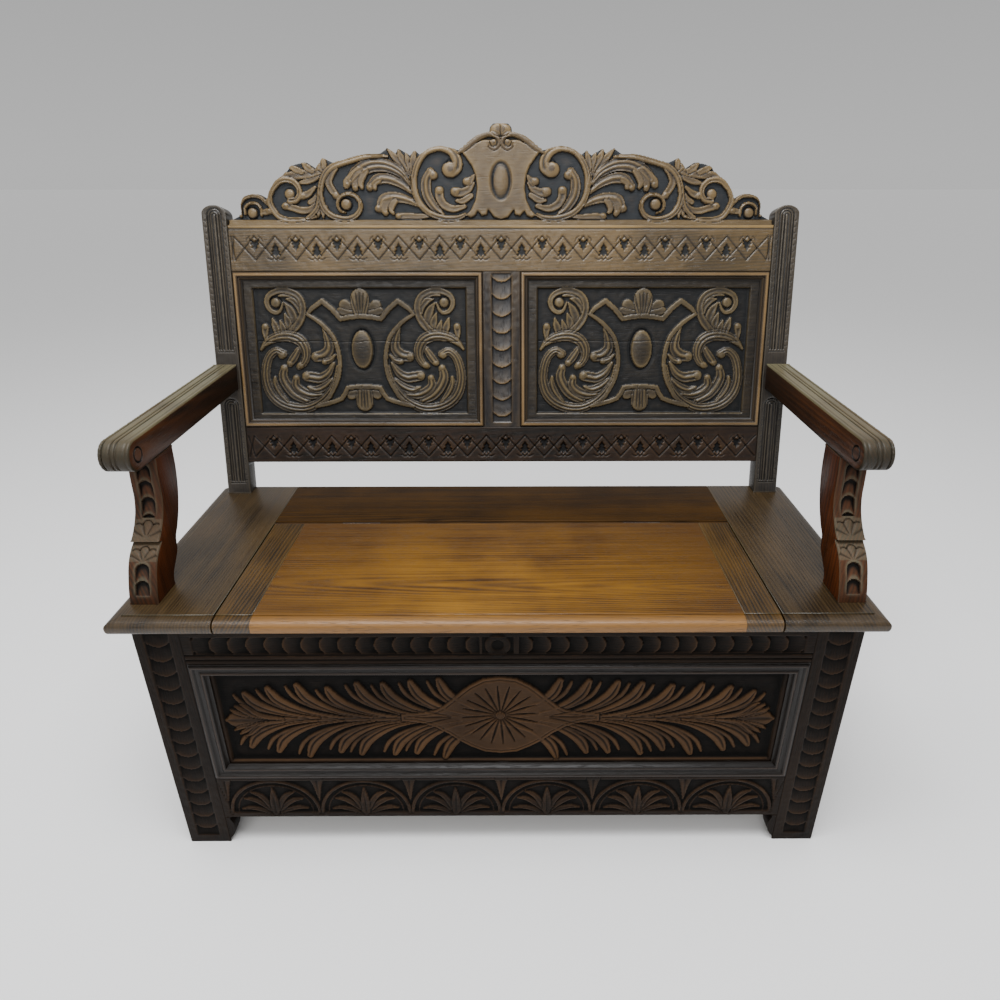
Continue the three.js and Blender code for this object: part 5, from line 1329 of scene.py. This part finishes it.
# The arm's top and the front of its knuckle get a painted sheen, the knuckle's lower part and the underside
# painted shade, and its flat sides grow darker towards the rear.
sheen_and_polish = np.interp(steps, (0, 110, 140, 180, 186), (0.7, 0.6, 0.5, 0.4, 0))
painted_shade = np.interp(steps, (118, 138, 150, 186), (0, 0.5, 0.72, 0.92))
flank = np.interp(np.array(path)[:, 0], (knuckle[0], knuckle[0] + 150, rear_top), (0.25, 0.3, 0.85))
for side, sign in SIDES:
    low, high = sign * ARM_MIDDLE - ARM_WIDTH / 2, sign * ARM_MIDDLE + ARM_WIDTH / 2
    eyes = [((x, knuckle[0] + 2, knuckle[1]), EYE_RADIUS) for x in (low, high)]
    wrapped(f"arm_{side}", path, low, high, depth[::-sign], arris * ends[None], sheen_and_polish, painted_shade, flank,
            ARM_OAK, eyes)

# Supports under the arms
# Curved oak uprights in two sweeps that meet in a sharp lip, sawn from 40 mm stock and tenoned at both
# ends. A sunk channel up the front face holds leaf fans at the lip and gouged arches above and below.
SUPPORT_FRONT = [(0, 0), (0.015, 0.07), (0.06, 0.16), (0.127, 0.264), (0.2, 0.335), (0.29, 0.385),
                 (0.345, 0.402)]
SUPPORT_UPPER = [(0.285, 0.42), (0.375, 0.477), (0.45, 0.54), (0.507, 0.61), (0.545, 0.7), (0.555, 0.79),
                 (0.57, 0.9), (0.6, 1)]
SUPPORT_BACK = [(1, 1), (0.995, 0.9), (0.975, 0.78), (0.925, 0.64), (0.84, 0.5), (0.74, 0.39),
                (0.665, 0.33), (0.645, 0.285), (0.62, 0.215), (0.52, 0.14), (0.44, 0.08), (0.41, 0)]
SUPPORT_LOW, SUPPORT_HIGH = 452.8, 639.7
SUPPORT_SETBACK, SUPPORT_REACH, SUPPORT_WIDTH = 21.0, 134.0, 40.0
SCOOP_HALF, SCOOP_PITCH = 10.0, 24.0
SUPPORT_COLUMNS = 40
SUPPORT_ARRIS = 2.2
SUPPORT_CAP = 0.3


def sweep(shares, steps):
    """A line sawn through places given as shares of the support's reach and height, and its walk."""
    places = [(SUPPORT_SETBACK + a * SUPPORT_REACH, SUPPORT_LOW + b * (SUPPORT_HIGH - SUPPORT_LOW), 1)
              for a, b in shares]
    line = smooth_line(places, steps)[:, :2]
    return line, walk(line)


def carved_front(run, arches, root, reach):
    """Round-headed hollows that open downwards, one above another, and a leaf cut with veins."""
    v, u = np.meshgrid(across, run, indexing="ij")
    head = u + SCOOP_HALF - np.sqrt(np.maximum(SCOOP_HALF ** 2 - v ** 2, 0))
    share = np.mod(arches[1] - head, SCOOP_PITCH) / SCOOP_PITCH
    inside = clamp((SCOOP_HALF - np.abs(v)) / 1.3) * (head < arches[1]) * (u > arches[0])
    h = -4.6 * (1 - share) ** 0.7 * clamp(share / 0.05) * inside
    angle, r = np.arctan2(v, u - root), np.hypot(v, u - root)
    veins = (0.5 + 0.5 * np.cos(angle * 9 + math.pi)) ** 3
    lobed = reach * (0.82 + 0.18 * np.abs(np.cos(angle * 4.5)))
    ahead = np.abs(angle) < 1.6
    edge = bell((r - lobed) / 1.1) * ahead * (np.abs(v) < 16)
    return h - 1.5 * veins * ((r < lobed) & ahead) * clamp(r / 6) - 2.0 * edge


(lower, lower_run), (upper, upper_run), (rear, rear_run) = [
    sweep(shares, steps) for shares, steps in ((SUPPORT_FRONT, 12), (SUPPORT_UPPER, 12), (SUPPORT_BACK, 5))]
across = np.linspace(-SUPPORT_WIDTH / 2, SUPPORT_WIDTH / 2, SUPPORT_COLUMNS)
ends = [np.clip(np.minimum(run, run[-1] - run) / 4, SUPPORT_CAP, 1)
        for run in (lower_run, upper_run, rear_run)]
rounded = 1 - arc(1 - (SUPPORT_WIDTH / 2 - np.abs(across)) / SUPPORT_ARRIS)
arris = -SUPPORT_ARRIS * rounded[:, None] * np.hstack(ends)[None]
low_carving = carved_front(lower_run, (12, 58), 60, 24) * ends[0][None]
high_carving = carved_front(upper_run, (36, upper_run[-1] - 8), 6, 26) * ends[1][None]
depth = np.hstack([low_carving, high_carving, np.zeros((SUPPORT_COLUMNS, len(rear)))])
# The grey worn colour of the supports is a painted sheen.
SUPPORT_OAK = waxed_oak("red_brown_oak_support_painted_sheen", "z", (0.3, 0.0), dark="#200e05", light="#52280e",
                        worn_and_highlight="#6d6c59", recess="#0d0a08", rough=0.42, shine=0.15)
plain = np.zeros(len(rear))
# The leaf fans by the lip get a painted sheen, and the whole front a little painted shade.
sheen_and_polish = np.concatenate([np.where(lower_run > 60, 0.4, 0.1), np.where(upper_run < 34, 0.4, 0.1), plain])
painted_shade = np.concatenate([np.full(len(lower) + len(upper), 0.2), plain])
path = np.vstack([lower, upper, rear])
for side, sign in SIDES:
    low, high = sign * ARM_MIDDLE - SUPPORT_WIDTH / 2, sign * ARM_MIDDLE + SUPPORT_WIDTH / 2
    wrapped(f"arm_support_{side}", path, low, high, depth, arris, sheen_and_polish, painted_shade, np.full(len(path), 0.05),
            SUPPORT_OAK)

# Studio
# A wide pale floor under a pale sky that meets it at the horizon, soft lamps overhead and in front, and the
# photograph's camera.
paper, tree = bare_material("pale_paper")
place = add(tree, "ShaderNodeTexCoord", out="Object")
away = add(tree, "ShaderNodeVectorMath", {0: place}, out=1, operation="LENGTH")
far = add(tree, "ShaderNodeMapRange", {0: away, 1: 0.5, 2: 6.0}, interpolation_type="SMOOTHERSTEP")
tint = add(tree, "ShaderNodeMix", {0: far, 6: linear("#ffffff"), 7: linear("#f4f4f4")}, out=2,
           data_type="RGBA")
shader = add(tree, "ShaderNodeBsdfPrincipled",
             {"Base Color": tint, "Roughness": 0.95, "Specular IOR Level": 0.1})
add(tree, "ShaderNodeOutputMaterial", {0: shader})
bpy.ops.mesh.primitive_plane_add(size=60, location=(0, 0, 0))
floor = bpy.context.object
floor.name = "floor"
floor.data.materials.append(paper)

world = bpy.data.worlds.new("studio")
world.use_nodes = True
sky = world.node_tree
place = add(sky, "ShaderNodeTexCoord", out="Generated")
height = add(sky, "ShaderNodeSeparateXYZ", {0: place}, out=2)
haze = add(sky, "ShaderNodeMapRange", {0: height, 1: 0.0, 2: 0.17, 3: 0.59, 4: 0.49})
bright = add(sky, "ShaderNodeMapRange", {0: height, 1: 0.17, 2: 0.8, 3: 0.0, 4: 0.28})
glow = add(sky, "ShaderNodeMath", {0: haze, 1: bright}, operation="ADD")
sky.links.new(glow, sky.nodes["Background"].inputs["Color"])
bpy.context.scene.world = world


def softbox(name, place, aim, size, power, colour):
    """A soft rectangular lamp, aimed at a place."""
    data = bpy.data.lights.new(name, "AREA")
    data.shape = "RECTANGLE"
    data.size, data.size_y = size
    data.energy, data.color = power, colour
    lamp = shown(name, data)
    lamp.location = place
    lamp.rotation_euler = (Vector(aim) - Vector(place)).to_track_quat("-Z", "Y").to_euler()


softbox("overhead", (-0.2, -0.6, 2.8), (0, 0.0, 0.5), (2.0, 1.0), 80, (0.97, 0.98, 1.0))
softbox("front", (-0.6, -3.0, 2.5), (0, 0.1, 0.7), (2.4, 0.8), 36, (1.0, 0.98, 0.95))

camera = shown("camera", bpy.data.cameras.new("camera"))
camera.location = (0.0219, -1.0653, 1.0100)
camera.rotation_euler = (math.radians(64.28), 0, math.radians(-0.286))
camera.data.lens = 25.28
camera.data.sensor_width = 36
camera.data.shift_x = -0.0176
bpy.context.scene.camera = camera
